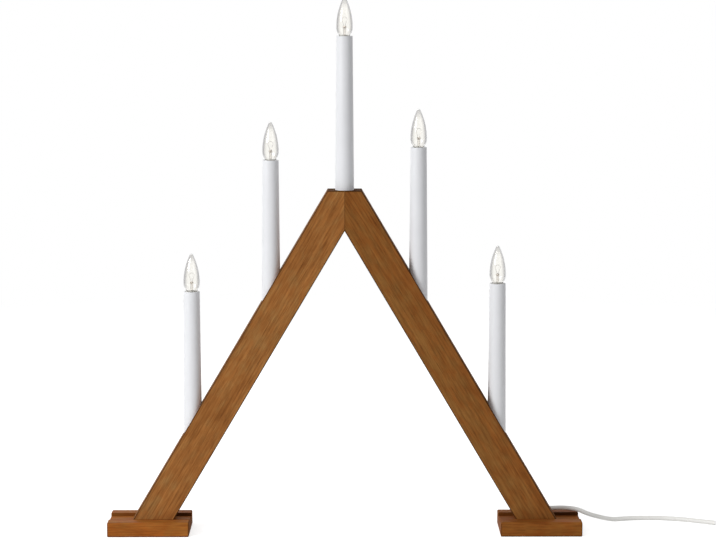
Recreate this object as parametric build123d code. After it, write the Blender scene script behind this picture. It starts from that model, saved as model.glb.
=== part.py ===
from build123d import *
import os
from math import cos, radians, sin, tan

# Legs: two boards, mitred on the middle plane and cut flat on top
LEG_LEAN = 30.55  # degrees from upright
LEG_WIDTH = 35.0
LEG_THICKNESS = 28.0
LEG_EDGE_ROUND = 0.8
APEX_HEIGHT = 346.4  # from the table to the flat cut
APEX_FLAT_WIDTH = 34.0

# Feet: blocks with a shallow groove along their length
FOOT_LENGTH = 81.8
FOOT_DEPTH = 60.0
FOOT_HEIGHT = 14.4
FOOT_INNER_MARGIN = 15.9  # from the foot's inner end to the leg
FOOT_GROOVE_DEPTH = 3.0
FOOT_TOP_ROUND = 3.0
FOOT_END_EASE = 0.7

# Screws up through the feet, and dowels across the mitre
FOOT_SCREW_RADIUS = 2.0
FOOT_SCREW_LENGTH = 40.0
FOOT_SCREW_HEAD_RADIUS = 4.0
FOOT_SCREW_HEAD_HEIGHT = 2.4
FOOT_SCREW_RECESS = 0.6
FOOT_SCREW_SPACING = 14.0
FOOT_SCREW_SETBACK = 14.0  # from the leg's inner edge at the foot's top
DOWEL_RADIUS = 3.0
DOWEL_LENGTH = 32.0
DOWEL_SPACING = 10.0
DOWEL_RISE = 7.1  # above the inner corner of the mitre

# Candle tubes: moulded with a taper, on a straight end that stands in the wood
TUBE_LENGTH = 166.0
TUBE_RIM_RADIUS = 8.05
TUBE_SEAT_RADIUS = 9.35
TUBE_SEAT_LENGTH = 20.0
TUBE_WALL = 1.3
TUBE_LEDGE_WIDTH = 1.4
TUBE_LEDGE_HEIGHT = 1.6
UPPER_CANDLE_SHARE = 0.4066  # of the way down a leg's wiring groove, from the middle plane
LOWER_CANDLE_SHARE = 0.8458
TOP_SEAT_DEPTH = 13.5  # on the tube's axis, from the wood's surface to the floor of the hole
UPPER_LEFT_SEAT_DEPTH = 40.4
UPPER_RIGHT_SEAT_DEPTH = 27.6
LOWER_LEFT_SEAT_DEPTH = 37.4
LOWER_RIGHT_SEAT_DEPTH = 29.5

# Lamp holders in the tubes' mouths
HOLDER_LENGTH = 26.0
HOLDER_RECESS = 0.5
HOLDER_BORE_DEPTH = 14.0
HOLDER_FLOOR = 3.0
HOLDER_SKIRT_WALL = 1.2
SHELL_BORE_RADIUS = 4.9
SHELL_WALL = 0.4
SHELL_SHORTFALL = 1.4  # below the holder's mouth
CONTACT_RADIUS = 2.2
CONTACT_HEIGHT = 0.8
RIVET_RADIUS = 0.9
RIVET_HEAD_HEIGHT = 0.6

# Lamps: clear flame-shaped glass on a small screw cap
GLASS_HEIGHT = 37.9  # above the tube's rim
GLASS_RADIUS = 8.25
GLASS_WIDEST = 8.65  # height of the widest place above the rim
GLASS_MOUTH_RADIUS = 5.1  # where the bowl meets the neck, level with the rim
GLASS_TIP_RADIUS = 1.8
GLASS_WALL = 0.6
GLASS_NECK_RADIUS = 4.1
GLASS_NECK_LENGTH = 5.0
CAP_RADIUS = 4.75
CAP_WALL = 0.3
CAP_LENGTH = 9.4
CAP_DROP = 0.6  # from the tube's rim down to the cap's top
CAP_LIP_RADIUS = 2.9
BASE_HEIGHT = 1.9
BASE_TIP_RADIUS = 1.8
BASE_TIP_HEIGHT = 0.9
STEM_RADIUS = 1.3
STEM_HEIGHT = 7.4  # above the tube's rim
BEAD_RADIUS = 1.9
BEAD_HEIGHT = 2.2
FILAMENT_WIRE_RADIUS = 0.22
FILAMENT_FOOT_SPREAD = 1.4
FILAMENT_SPREAD = 5.6
FILAMENT_RISE = 8.6
FILAMENT_BEND = 0.7
FILAMENT_RISE_SHARES = (0.0, 0.16, 0.72, 1.0)

# Wiring on the back of the legs
GROOVE_OFFSET = 10.0  # from the leg's middle line towards the inside of the arch
GROOVE_WIDTH = 5.4
GROOVE_DEPTH = 4.8
WIRE_BORE_RADIUS = 3.0
CANDLE_LEAD_RADIUS = 0.7
CANDLE_LEAD_SPACING = 2.4
CANDLE_LEAD_BEND = 2.0
FLAT_LEAD_WIDTH = 5.0
FLAT_LEAD_HEIGHT = 2.6
FLAT_LEAD_GAP = 3.6  # from the middle plane to the ends at the apex
STAPLE_WIRE = 1.0
STAPLE_SPAN = 8.6
STAPLE_LEG = 7.0
STAPLE_HEIGHT_SHARES = (0.33, 0.45, 0.82)
FEED_STAPLE_HEIGHT_SHARE = 0.155

# Mains cord, its clip on the right leg, its coil and its plug
CORD_DIAMETER = 4.6
CLIP_SETBACK = 12.0  # from the leg's outer edge to the clip's middle
CLIP_WIDTH = 8.0
CLIP_WALL = 1.2
CLIP_EAR_HEIGHT = 13.0
CLIP_EAR_THICKNESS = 2.0
CLIP_SCREW_RISE = 9.0
CLIP_SCREW_RADIUS = 1.5
CLIP_SCREW_LENGTH = 14.0
CLIP_SCREW_HEAD_RADIUS = 3.0
CLIP_SCREW_HEAD_HEIGHT = 2.0
FEED_BEND_REACH = 8.0  # beside and above the point where the feed would meet the groove squarely
FEED_SEAT_SHARE = 0.78  # of the feed's rise, where it lies down in the groove
# Route of the free cord after the clip, to the start of the coil
CORD_ROUTE = (
    (241.5, 21.5, 22.0),
    (260.0, 33.0, 8.0),
    (278.0, 40.0, 3.0),
    (300.0, 41.5, 2.7),
    (324.0, 40.0, 2.7),
    (348.0, 33.0, 2.7),
    (371.0, 21.0, 2.7),
    (392.0, 9.0, 2.9),
)
COIL_X = 431.0
COIL_Y = 41.5
COIL_INNER_RADIUS = 18.6
COIL_PITCH = 6.1
COIL_LOWER_HALF_TURNS = 7
COIL_UPPER_HALF_TURNS = 6
TIE_THICKNESS = 0.9
TIE_WIDTH = 7.0
TIE_ROUND = 2.5
CORD_LEAD = 16.0  # straight run at each end of the free cord
TAIL_LEAD = 13.0  # straight run at each end of the tail
PLUG_X = 481.0
PLUG_Y = -3.0
PLUG_LENGTH = 34.0
PLUG_WIDTH = 35.0
PLUG_THICKNESS = 13.7
PLUG_NECK_WIDTH = 12.0
PLUG_SHOULDER_WIDTH = 16.0
PLUG_CORNER_ROUND = 4.0
PLUG_EDGE_ROUND = 2.4
PLUG_SHOULDER_SHARE = 0.16
PLUG_CHEEK_SHARE = 0.52
RELIEF_LENGTH = 26.0
RELIEF_ROOT_RADIUS = 5.4
RELIEF_END_RADIUS = 3.4
RELIEF_SLOT_DEPTH = 0.9
RELIEF_SLOT_COUNT = 5
RELIEF_SLOT_SHARE = 0.4  # of the step from one slot to the next
PIN_SPACING = 19.0
PIN_RADIUS = 2.0
PIN_LENGTH = 19.0
PIN_ROOT_RADIUS = 1.4
PIN_ROOT_DEPTH = 9.0
PIN_END_ROUND = 1.2
SLEEVE_RADIUS = 1.8
SLEEVE_LENGTH = 10.0

# Clearances, and how far a cutter runs past what it cuts
FIT_CLEARANCE = 0.1
TIGHT_CLEARANCE = 0.05
TURN_CLEARANCE = 0.1
LOOSE_CLEARANCE = 0.3
CUT_OVERRUN = 4.0

LEAN_TAN = tan(radians(LEG_LEAN))
LEAN_COS = cos(radians(LEG_LEAN))
LEAN_SIN = sin(radians(LEG_LEAN))
LEG_BACK = LEG_THICKNESS / 2
LEG_FOOT_Z = FOOT_HEIGHT - FOOT_GROOVE_DEPTH
LEG_SPAN = LEG_WIDTH / LEAN_COS
CORD_RADIUS = CORD_DIAMETER / 2


def outer_x(z):
    """Distance of a leg's outer edge from the middle plane at height z."""
    return APEX_FLAT_WIDTH / 2 + (APEX_HEIGHT - z) * LEAN_TAN


def inner_x(z):
    """Distance of a leg's inner edge from the middle plane at height z."""
    return outer_x(z) - LEG_SPAN


def top_z(x):
    """Height of the wood's upper surface at distance x from the middle plane."""
    return APEX_HEIGHT - max(x - APEX_FLAT_WIDTH / 2, 0) / LEAN_TAN


INNER_APEX_Z = APEX_HEIGHT + (APEX_FLAT_WIDTH / 2 - LEG_SPAN) / LEAN_TAN
GROOVE_APEX_Z = APEX_HEIGHT + (APEX_FLAT_WIDTH - LEG_SPAN) / 2 / LEAN_TAN - GROOVE_OFFSET / LEAN_SIN
GROOVE_FLOOR_Y = LEG_BACK - GROOVE_DEPTH


def groove_x(z):
    """Distance of the wiring groove's middle from the middle plane at height z."""
    return (GROOVE_APEX_Z - z) * LEAN_TAN


def groove_z(x):
    """Height of the wiring groove's middle at distance x from the middle plane."""
    return GROOVE_APEX_Z - x / LEAN_TAN


UPPER_CANDLE_REACH = UPPER_CANDLE_SHARE * groove_x(FOOT_HEIGHT)
LOWER_CANDLE_REACH = LOWER_CANDLE_SHARE * groove_x(FOOT_HEIGHT)

# Each candle: its side (-1 left, 0 middle, 1 right), distance from the middle plane and depth in the wood
CANDLES = {
    "top": (0, 0, TOP_SEAT_DEPTH),
    "upper_left": (-1, UPPER_CANDLE_REACH, UPPER_LEFT_SEAT_DEPTH),
    "upper_right": (1, UPPER_CANDLE_REACH, UPPER_RIGHT_SEAT_DEPTH),
    "lower_left": (-1, LOWER_CANDLE_REACH, LOWER_LEFT_SEAT_DEPTH),
    "lower_right": (1, LOWER_CANDLE_REACH, LOWER_RIGHT_SEAT_DEPTH),
}
LEFT, RIGHT = -1, 1


def seat_z(candle):
    """Height of the floor of a candle's hole."""
    _, reach, depth = CANDLES[candle]
    return top_z(reach) - depth


def rim_z(candle):
    """Height of a candle tube's rim."""
    return seat_z(candle) + TUBE_LENGTH


def candle_place(candle):
    """Location on a candle's axis at the height of its rim."""
    side, reach, _ = CANDLES[candle]
    return Pos(side * reach, 0, rim_z(candle))


def revolved(*outline):
    """Solid of revolution about Z from (radius, height) points."""
    return revolve(Plane.XZ * make_face(Polyline(*outline, close=True)), Axis.Z)


def drill(radius, start, direction, depth):
    """Cylinder from a point along a direction."""
    along = Cylinder(radius, depth, align=(Align.CENTER, Align.CENTER, Align.MIN))
    return Plane(origin=start, z_dir=direction) * along


def corner_radii(points):
    """Radius of each corner of a route: as large as its two runs allow."""
    radii = []
    reach_share = 0.45
    for a, b, c in zip(points, points[1:], points[2:]):
        turn = radians((b - a).get_angle(c - b))
        radii.append(reach_share * min((b - a).length, (c - b).length) / tan(turn / 2))
    return radii


def cord_along(points, radius):
    """Round cord along straight runs joined by tangent arcs, with the radii of its corners."""
    points = [Vector(p) for p in points]
    radii = corner_radii(points)
    path = FilletPolyline(*points, radius=radii)
    section = Plane(origin=points[0], z_dir=points[1] - points[0]) * Circle(radius)
    return sweep(section, path=path), radii, path


# Wood

def foot_screw_places(side):
    """Points on a foot's underside where its screws go in."""
    x = side * (inner_x(FOOT_HEIGHT) + FOOT_SCREW_SETBACK)
    return [Vector(x, y, FOOT_SCREW_RECESS) for y in (-FOOT_SCREW_SPACING / 2, FOOT_SCREW_SPACING / 2)]


def foot_screw(place, clearance=0):
    """Countersunk screw, head down, or with a clearance the hole for it."""
    head, shank = FOOT_SCREW_HEAD_RADIUS + clearance, FOOT_SCREW_RADIUS + clearance
    screw = revolved(
        (0, 0),
        (head, 0),
        (shank, FOOT_SCREW_HEAD_HEIGHT),
        (shank, FOOT_SCREW_LENGTH + clearance),
        (0, FOOT_SCREW_LENGTH + clearance),
    )
    if clearance:
        screw += drill(head, (0, 0, 0), (0, 0, -1), FOOT_SCREW_RECESS + CUT_OVERRUN)
    return Pos(place) * screw


def foot(side):
    """Foot block with its groove, rounded top edges and screw holes."""
    profile = Rectangle(FOOT_DEPTH, FOOT_HEIGHT, align=(Align.CENTER, Align.MIN))
    profile -= Pos(0, FOOT_HEIGHT) * Rectangle(LEG_THICKNESS + 2 * FIT_CLEARANCE, 2 * FOOT_GROOVE_DEPTH)
    top_corners = profile.vertices().group_by(Axis.Y)[-1].sort_by(Axis.X)
    profile = fillet([top_corners[0], top_corners[-1]], FOOT_TOP_ROUND)
    inner_end = inner_x(FOOT_HEIGHT) - FOOT_INNER_MARGIN
    start = inner_end if side == RIGHT else -inner_end - FOOT_LENGTH
    block = extrude(Plane.YZ.offset(start) * profile, FOOT_LENGTH)
    ends = block.faces().sort_by(Axis.X)
    block = chamfer(ends[0].edges() + ends[-1].edges(), FOOT_END_EASE)
    for place in foot_screw_places(side):
        block -= foot_screw(place, FIT_CLEARANCE)
    return block


def dowel_places():
    """Middle points of the dowels, on the mitre plane."""
    z = INNER_APEX_Z + DOWEL_RISE
    return [Vector(0, y, z) for y in (-DOWEL_SPACING / 2, DOWEL_SPACING / 2)]


def dowel(place, clearance=0):
    """Dowel across the mitre, or with a clearance the hole for it."""
    length = DOWEL_LENGTH + 2 * clearance
    return Pos(place) * Rot(0, 90, 0) * Cylinder(DOWEL_RADIUS + clearance, length)


def groove_plane(side, z):
    """Plane on a leg's back at the groove's middle: x up the groove, y across it, z out of the wood."""
    return Plane(
        origin=(side * groove_x(z), LEG_BACK, z),
        x_dir=(-side * LEAN_SIN, 0, LEAN_COS),
        z_dir=(0, 1, 0),
    )


def staple_heights(side):
    """Heights of the staples along a leg's groove."""
    shares = STAPLE_HEIGHT_SHARES + ((FEED_STAPLE_HEIGHT_SHARE,) if side == RIGHT else ())
    return [share * APEX_HEIGHT for share in shares]


def staple(side, z, clearance=0):
    """Wire staple across the groove, or with a clearance its holes."""
    wire = STAPLE_WIRE + 2 * clearance
    crown = Pos(0, 0, STAPLE_WIRE / 2) * Box(wire, STAPLE_SPAN + wire, STAPLE_WIRE)
    leg_middle = (STAPLE_WIRE - STAPLE_LEG - clearance) / 2
    for across in (-STAPLE_SPAN / 2, STAPLE_SPAN / 2):
        crown += Pos(0, across, leg_middle) * Box(wire, wire, STAPLE_LEG + STAPLE_WIRE + clearance)
    return groove_plane(side, z) * crown


CORD_Z = FOOT_HEIGHT + CORD_RADIUS + CLIP_WALL + LOOSE_CLEARANCE
CORD_Y = LEG_BACK + CORD_RADIUS + CLIP_WALL
CLIP_X = outer_x(CORD_Z) - CLIP_SETBACK


def clip_screw(clearance=0):
    """Screw that holds the cord clip, or with a clearance its hole."""
    start = (CLIP_X, LEG_BACK + CLIP_EAR_THICKNESS, CORD_Z + CLIP_SCREW_RISE)
    screw = drill(CLIP_SCREW_RADIUS + clearance, start, (0, -1, 0), CLIP_SCREW_LENGTH + clearance)
    head = drill(CLIP_SCREW_HEAD_RADIUS, start, (0, 1, 0), CLIP_SCREW_HEAD_HEIGHT)
    rim = head.edges().group_by(Axis.Y)[-1]
    return screw + fillet(rim, CLIP_SCREW_HEAD_HEIGHT / 2)


def leg(side):
    """Leg board with its mitre, candle holes, wiring groove and screw holes."""
    outline = Polyline(
        (0, APEX_HEIGHT),
        (side * APEX_FLAT_WIDTH / 2, APEX_HEIGHT),
        (side * outer_x(LEG_FOOT_Z), LEG_FOOT_Z),
        (side * inner_x(LEG_FOOT_Z), LEG_FOOT_Z),
        (0, INNER_APEX_Z),
        close=True,
    )
    board = extrude(Plane.XZ * make_face(outline), LEG_THICKNESS / 2, both=True)
    long_edges = board.edges().sort_by(SortBy.LENGTH)[-4:]
    board = fillet(long_edges, LEG_EDGE_ROUND)
    groove_length = 2 * (APEX_HEIGHT + CUT_OVERRUN) / LEAN_COS
    board -= groove_plane(side, INNER_APEX_Z / 2) * Box(groove_length, GROOVE_WIDTH, 2 * GROOVE_DEPTH)
    for candle, (candle_side, reach, depth) in CANDLES.items():
        if candle_side in (0, side):
            board -= candle_bores(candle_side * reach, seat_z(candle), depth, groove_z(reach))
    for place in dowel_places():
        board -= dowel(place, TIGHT_CLEARANCE)
    for place in foot_screw_places(side):
        board -= foot_screw(place, TIGHT_CLEARANCE)
    for z in staple_heights(side):
        board -= staple(side, z, TIGHT_CLEARANCE)
    if side == RIGHT:
        board -= clip_screw(TIGHT_CLEARANCE)
    return keep_largest(board)


def keep_largest(shape):
    """The main solid of a board, without shavings that a groove leaves past the mitre."""
    return shape.solids().sort_by(SortBy.VOLUME)[-1]


def candle_bores(x, floor, depth, cross_z):
    """Hole for a tube, the bore below it for its leads and the cross hole to the groove."""
    hole_radius = TUBE_SEAT_RADIUS + FIT_CLEARANCE
    hole = drill(hole_radius, (x, 0, floor), (0, 0, 1), depth + hole_radius / LEAN_TAN + CUT_OVERRUN)
    bore = drill(WIRE_BORE_RADIUS, (x, 0, cross_z), (0, 0, 1), floor - cross_z + CUT_OVERRUN)
    end = Pos(x, 0, cross_z) * Sphere(WIRE_BORE_RADIUS)
    cross = drill(WIRE_BORE_RADIUS, (x, 0, cross_z), (0, 1, 0), LEG_BACK + CUT_OVERRUN)
    return hole + bore + end + cross


# Candles: each piece is drawn on the axis with the tube's rim at height zero

HOLDER_RADIUS = TUBE_RIM_RADIUS - TUBE_WALL
HOLDER_BOTTOM = -HOLDER_RECESS - HOLDER_LENGTH
HOLDER_BORE_RADIUS = SHELL_BORE_RADIUS + SHELL_WALL + TIGHT_CLEARANCE
HOLDER_BORE_FLOOR = -HOLDER_RECESS - HOLDER_BORE_DEPTH
CAP_TOP = -CAP_DROP
CAP_BOTTOM = CAP_TOP - CAP_LENGTH
BASE_TOP = CAP_BOTTOM - TURN_CLEARANCE


def tube_radius(z):
    """Outer radius of a candle tube at a height below its rim."""
    taper_length = TUBE_LENGTH - TUBE_SEAT_LENGTH
    return TUBE_RIM_RADIUS + (TUBE_SEAT_RADIUS - TUBE_RIM_RADIUS) * min(-z / taper_length, 1)


def candle_tube():
    """Tapered tube with a straight end and a ledge for the lamp holder."""
    seat_top = TUBE_SEAT_LENGTH - TUBE_LENGTH
    ledge_bottom = HOLDER_BOTTOM - TUBE_LEDGE_HEIGHT
    bore = HOLDER_RADIUS + FIT_CLEARANCE
    return revolved(
        (bore, 0),
        (TUBE_RIM_RADIUS, 0),
        (TUBE_SEAT_RADIUS, seat_top),
        (TUBE_SEAT_RADIUS, -TUBE_LENGTH),
        (TUBE_SEAT_RADIUS - TUBE_WALL, -TUBE_LENGTH),
        (TUBE_SEAT_RADIUS - TUBE_WALL, seat_top),
        (tube_radius(ledge_bottom) - TUBE_WALL, ledge_bottom),
        (bore - TUBE_LEDGE_WIDTH, ledge_bottom),
        (bore - TUBE_LEDGE_WIDTH, HOLDER_BOTTOM),
        (bore, HOLDER_BOTTOM),
    )


def lamp_holder():
    """Moulded holder: a bore for the screw shell, a floor with a rivet hole and a hollow skirt."""
    skirt = HOLDER_RADIUS - HOLDER_SKIRT_WALL
    floor_bottom = HOLDER_BORE_FLOOR - HOLDER_FLOOR
    rivet_hole = RIVET_RADIUS + TIGHT_CLEARANCE
    return revolved(
        (HOLDER_BORE_RADIUS, -HOLDER_RECESS),
        (HOLDER_RADIUS, -HOLDER_RECESS),
        (HOLDER_RADIUS, HOLDER_BOTTOM),
        (skirt, HOLDER_BOTTOM),
        (skirt, floor_bottom),
        (rivet_hole, floor_bottom),
        (rivet_hole, HOLDER_BORE_FLOOR),
        (HOLDER_BORE_RADIUS, HOLDER_BORE_FLOOR),
    )


def socket_shell():
    """Metal sleeve in the holder that the lamp's cap screws into."""
    mouth = -HOLDER_RECESS - SHELL_SHORTFALL
    return revolved(
        (SHELL_BORE_RADIUS, mouth),
        (SHELL_BORE_RADIUS + SHELL_WALL, mouth),
        (SHELL_BORE_RADIUS + SHELL_WALL, HOLDER_BORE_FLOOR),
        (SHELL_BORE_RADIUS, HOLDER_BORE_FLOOR),
    )


def centre_contact():
    """Riveted contact on the holder's floor that meets the lamp's tip."""
    floor_bottom = HOLDER_BORE_FLOOR - HOLDER_FLOOR
    tip = BASE_TOP - BASE_HEIGHT - BASE_TIP_HEIGHT - TURN_CLEARANCE
    return revolved(
        (0, tip),
        (RIVET_RADIUS, tip),
        (CONTACT_RADIUS, HOLDER_BORE_FLOOR + CONTACT_HEIGHT),
        (CONTACT_RADIUS, HOLDER_BORE_FLOOR),
        (RIVET_RADIUS, HOLDER_BORE_FLOOR),
        (RIVET_RADIUS, floor_bottom),
        (CONTACT_RADIUS, floor_bottom),
        (CONTACT_RADIUS, floor_bottom - RIVET_HEAD_HEIGHT),
        (0, floor_bottom - RIVET_HEAD_HEIGHT),
    )


def flame_outline(wall):
    """Outline of the glass from rim to tip, drawn in by a wall: bowl, long side and round tip, all tangent."""
    radius, tip_radius, height = GLASS_RADIUS - wall, GLASS_TIP_RADIUS - wall, GLASS_HEIGHT - wall
    widest = Vector(radius, GLASS_WIDEST)
    rise = height - tip_radius - GLASS_WIDEST
    side_radius = (radius**2 + rise**2 - tip_radius**2) / (radius - tip_radius) / 2
    side_middle = Vector(radius - side_radius, GLASS_WIDEST)
    tip_middle = Vector(0, height - tip_radius)
    meeting = side_middle + (tip_middle - side_middle).normalized() * side_radius
    bowl = TangentArc(widest, (GLASS_MOUTH_RADIUS - wall, 0), tangent=(0, -1))
    side = TangentArc(widest, meeting, tangent=(0, 1))
    tip = TangentArc(meeting, (0, height), tangent=side % 1)
    return bowl, side, tip


def lamp_glass():
    """Blown envelope, open at the bottom of its neck."""
    outer, inner = flame_outline(0), flame_outline(GLASS_WALL)
    neck_bottom = CAP_TOP - GLASS_NECK_LENGTH
    neck_bore = GLASS_NECK_RADIUS - GLASS_WALL
    neck = Polyline(
        inner[0] @ 1,
        (neck_bore, CAP_TOP),
        (neck_bore, neck_bottom),
        (GLASS_NECK_RADIUS, neck_bottom),
        (GLASS_NECK_RADIUS, CAP_TOP),
        (CAP_RADIUS, CAP_TOP),
        outer[0] @ 1,
    )
    outline = [*inner, *outer, neck, Line(outer[2] @ 1, inner[2] @ 1)]
    return revolve(Plane.XZ * make_face(outline), Axis.Z)


def lamp_cap():
    """Screw cap as a plain sleeve with a turned-in lip."""
    return revolved(
        (CAP_RADIUS - CAP_WALL, CAP_TOP),
        (CAP_RADIUS, CAP_TOP),
        (CAP_RADIUS, CAP_BOTTOM),
        (CAP_LIP_RADIUS, CAP_BOTTOM),
        (CAP_LIP_RADIUS, CAP_BOTTOM + CAP_WALL),
        (CAP_RADIUS - CAP_WALL, CAP_BOTTOM + CAP_WALL),
    )


def lamp_base():
    """Insulating button under the cap, with its soldered tip."""
    bottom = BASE_TOP - BASE_HEIGHT
    button = revolved(
        (0, BASE_TOP),
        (CAP_RADIUS - CAP_WALL, BASE_TOP),
        (BASE_TIP_RADIUS + CAP_WALL, bottom),
        (0, bottom),
    )
    tip = drill(BASE_TIP_RADIUS, (0, 0, bottom), (0, 0, -1), BASE_TIP_HEIGHT)
    tip = fillet(tip.edges().group_by(Axis.Z)[0], BASE_TIP_HEIGHT / 2)
    return Compound(children=[button, tip])


def lamp_mount():
    """Glass stem with its bead, and the wire that carries the filament."""
    flare_bottom = CAP_TOP - GLASS_NECK_LENGTH
    flare_radius = GLASS_NECK_RADIUS - GLASS_WALL - TIGHT_CLEARANCE
    bead_top = STEM_HEIGHT + BEAD_HEIGHT
    stem = revolved(
        (0, flare_bottom),
        (flare_radius, flare_bottom),
        (flare_radius, flare_bottom + GLASS_WALL),
        (STEM_RADIUS, flare_bottom + BEAD_HEIGHT),
        (STEM_RADIUS, STEM_HEIGHT),
        (BEAD_RADIUS, STEM_HEIGHT + BEAD_HEIGHT / 2),
        (STEM_RADIUS, bead_top),
        (0, bead_top),
    )
    foot_x, arm_x = FILAMENT_FOOT_SPREAD / 2, FILAMENT_SPREAD / 2
    low, bend, shoulder, crest = [bead_top + share * FILAMENT_RISE for share in FILAMENT_RISE_SHARES]
    path = FilletPolyline(
        (-foot_x, 0, low),
        (-foot_x, 0, bend),
        (-arm_x, 0, shoulder),
        (0, 0, crest),
        (arm_x, 0, shoulder),
        (foot_x, 0, bend),
        (foot_x, 0, low),
        radius=FILAMENT_BEND,
    )
    wire = sweep(Plane(origin=(-foot_x, 0, low), z_dir=(0, 0, 1)) * Circle(FILAMENT_WIRE_RADIUS), path=path)
    return Compound(children=[stem, wire])


# Wiring

def candle_leads(candle):
    """Two leads from a lamp holder down its tube and out through the cross hole."""
    side, reach, _ = CANDLES[candle]
    top = rim_z(candle) + HOLDER_BORE_FLOOR - HOLDER_FLOOR
    end_y = GROOVE_FLOOR_Y - FIT_CLEARANCE
    leads = []
    for across in (-CANDLE_LEAD_SPACING / 2, CANDLE_LEAD_SPACING / 2):
        x = side * reach + across
        path = FilletPolyline(
            (x, 0, top - RIVET_HEAD_HEIGHT - LOOSE_CLEARANCE),
            (x, 0, groove_z(reach)),
            (x, end_y, groove_z(reach)),
            radius=CANDLE_LEAD_BEND,
        )
        section = Plane(origin=path @ 0, z_dir=(0, 0, -1)) * Circle(CANDLE_LEAD_RADIUS)
        leads.append(sweep(section, path=path))
    return leads


def flat_lead(side):
    """Flat two-core lead along a leg's groove, from the lower candle up to the apex."""
    low = groove_z(LOWER_CANDLE_REACH)
    high = groove_z(FLAT_LEAD_GAP)
    middle_y = GROOVE_FLOOR_Y + FIT_CLEARANCE + FLAT_LEAD_HEIGHT / 2
    start = Plane(
        origin=(side * groove_x(low), middle_y, low),
        x_dir=(LEAN_COS, 0, side * LEAN_SIN),
        z_dir=(-side * LEAN_SIN, 0, LEAN_COS),
    )
    return extrude(start * SlotOverall(FLAT_LEAD_WIDTH, FLAT_LEAD_HEIGHT), (high - low) / LEAN_COS)


EXIT = Vector(CLIP_X + CLIP_WIDTH / 2, CORD_Y, CORD_Z)


def feed_lead():
    """The cord's own end: through the clip, up into the groove and on to the first candle."""
    seat_y = GROOVE_FLOOR_Y + CORD_RADIUS + FIT_CLEARANCE
    end_z = groove_z(LOWER_CANDLE_REACH) - CORD_DIAMETER
    seat_height = CORD_Z + FEED_SEAT_SHARE * (end_z - CORD_Z)
    return cord_along(
        (
            EXIT,
            (groove_x(CORD_Z) + FEED_BEND_REACH, CORD_Y, CORD_Z),
            (groove_x(CORD_Z + FEED_BEND_REACH), CORD_Y, CORD_Z + FEED_BEND_REACH),
            (groove_x(seat_height), seat_y, seat_height),
            (groove_x(end_z), seat_y, end_z),
        ),
        CORD_RADIUS,
    )


def cord_clip():
    """Moulded loop round the cord with an ear on the leg's back."""
    outer = CORD_RADIUS + CLIP_WALL
    profile = Pos(CORD_Y, CORD_Z) * Circle(outer)
    ear_middle = LEG_BACK + CLIP_EAR_THICKNESS / 2
    ear = Rectangle(CLIP_EAR_THICKNESS, CLIP_EAR_HEIGHT, align=(Align.CENTER, Align.MIN))
    profile += Pos(ear_middle, CORD_Z) * ear
    profile -= Pos(CORD_Y, CORD_Z) * Circle(CORD_RADIUS + TIGHT_CLEARANCE)
    clip = extrude(Plane.YZ.offset(CLIP_X - CLIP_WIDTH / 2) * profile, CLIP_WIDTH)
    return clip - clip_screw(TIGHT_CLEARANCE)


# Put-away cord

COIL_LOWER_Z = TIE_THICKNESS + LOOSE_CLEARANCE + CORD_RADIUS
COIL_UPPER_Z = COIL_LOWER_Z + COIL_PITCH
COIL_OUTER_RADIUS = COIL_INNER_RADIUS + COIL_LOWER_HALF_TURNS * COIL_PITCH / 2


def coil_stations():
    """Points half a turn apart: in along the lower layer, up one layer, and out along the upper one."""
    stations = []
    for k in range(COIL_LOWER_HALF_TURNS + 1):
        stations.append((COIL_OUTER_RADIUS - k * COIL_PITCH / 2, COIL_LOWER_Z))
    for k in range(COIL_UPPER_HALF_TURNS + 1):
        stations.append((COIL_INNER_RADIUS + k * COIL_PITCH / 2, COIL_UPPER_Z))
    points = []
    for k, (radius, z) in enumerate(stations):
        front = -1 if k % 2 == 0 else 1
        points.append(Vector(COIL_X, COIL_Y + front * radius, z))
    return points


def cord_coil():
    """Coil as one tube on quarter-turn arcs, straight for one diameter at each end."""
    stations = coil_stations()
    start = stations[0] - Vector(CORD_DIAMETER, 0, 0)
    edges = [Line(start, stations[0])]
    for k, (a, b) in enumerate(zip(stations, stations[1:])):
        heading = Vector(1 if k % 2 == 0 else -1, 0, 0)
        crest = (a + b) * 0.5 + heading * ((b - a).length / 2)
        edges.append(TangentArc(a, crest, tangent=heading))
        edges.append(TangentArc(crest, b, tangent=b - a))
    end = stations[-1] + Vector(CORD_DIAMETER, 0, 0)
    edges.append(Line(stations[-1], end))
    path = Wire(edges)
    return sweep(Plane(origin=start, z_dir=(1, 0, 0)) * Circle(CORD_RADIUS), path=path), path, start, end


def least_gap(path, diameter):
    """Least distance between stretches of a tube that are not neighbours along it."""
    steps = 900
    points = [path @ (k / steps) for k in range(steps + 1)]
    skip = int(4 * diameter / path.length * steps) + 1
    least = path.length
    for k, point in enumerate(points):
        for other in points[k + skip:]:
            least = min(least, (other - point).length)
    return least - diameter


def cord_tie():
    """Flat strap round the coil's turns on its left side."""
    inner = COIL_INNER_RADIUS - CORD_RADIUS - LOOSE_CLEARANCE
    outer = COIL_OUTER_RADIUS - COIL_PITCH * 3 / 4 + CORD_RADIUS + LOOSE_CLEARANCE
    bottom = COIL_LOWER_Z - CORD_RADIUS - LOOSE_CLEARANCE
    height = COIL_UPPER_Z + CORD_RADIUS + LOOSE_CLEARANCE - bottom
    middle = (COIL_X - (inner + outer) / 2, bottom + height / 2)
    hole = RectangleRounded(outer - inner, height, TIE_ROUND)
    wall = 2 * TIE_THICKNESS
    strap = RectangleRounded(outer - inner + wall, height + wall, TIE_ROUND + TIE_THICKNESS)
    profile = Pos(*middle) * (strap - hole)
    return extrude(Plane.XZ.offset(-COIL_Y) * profile, TIE_WIDTH / 2, both=True)


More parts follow.
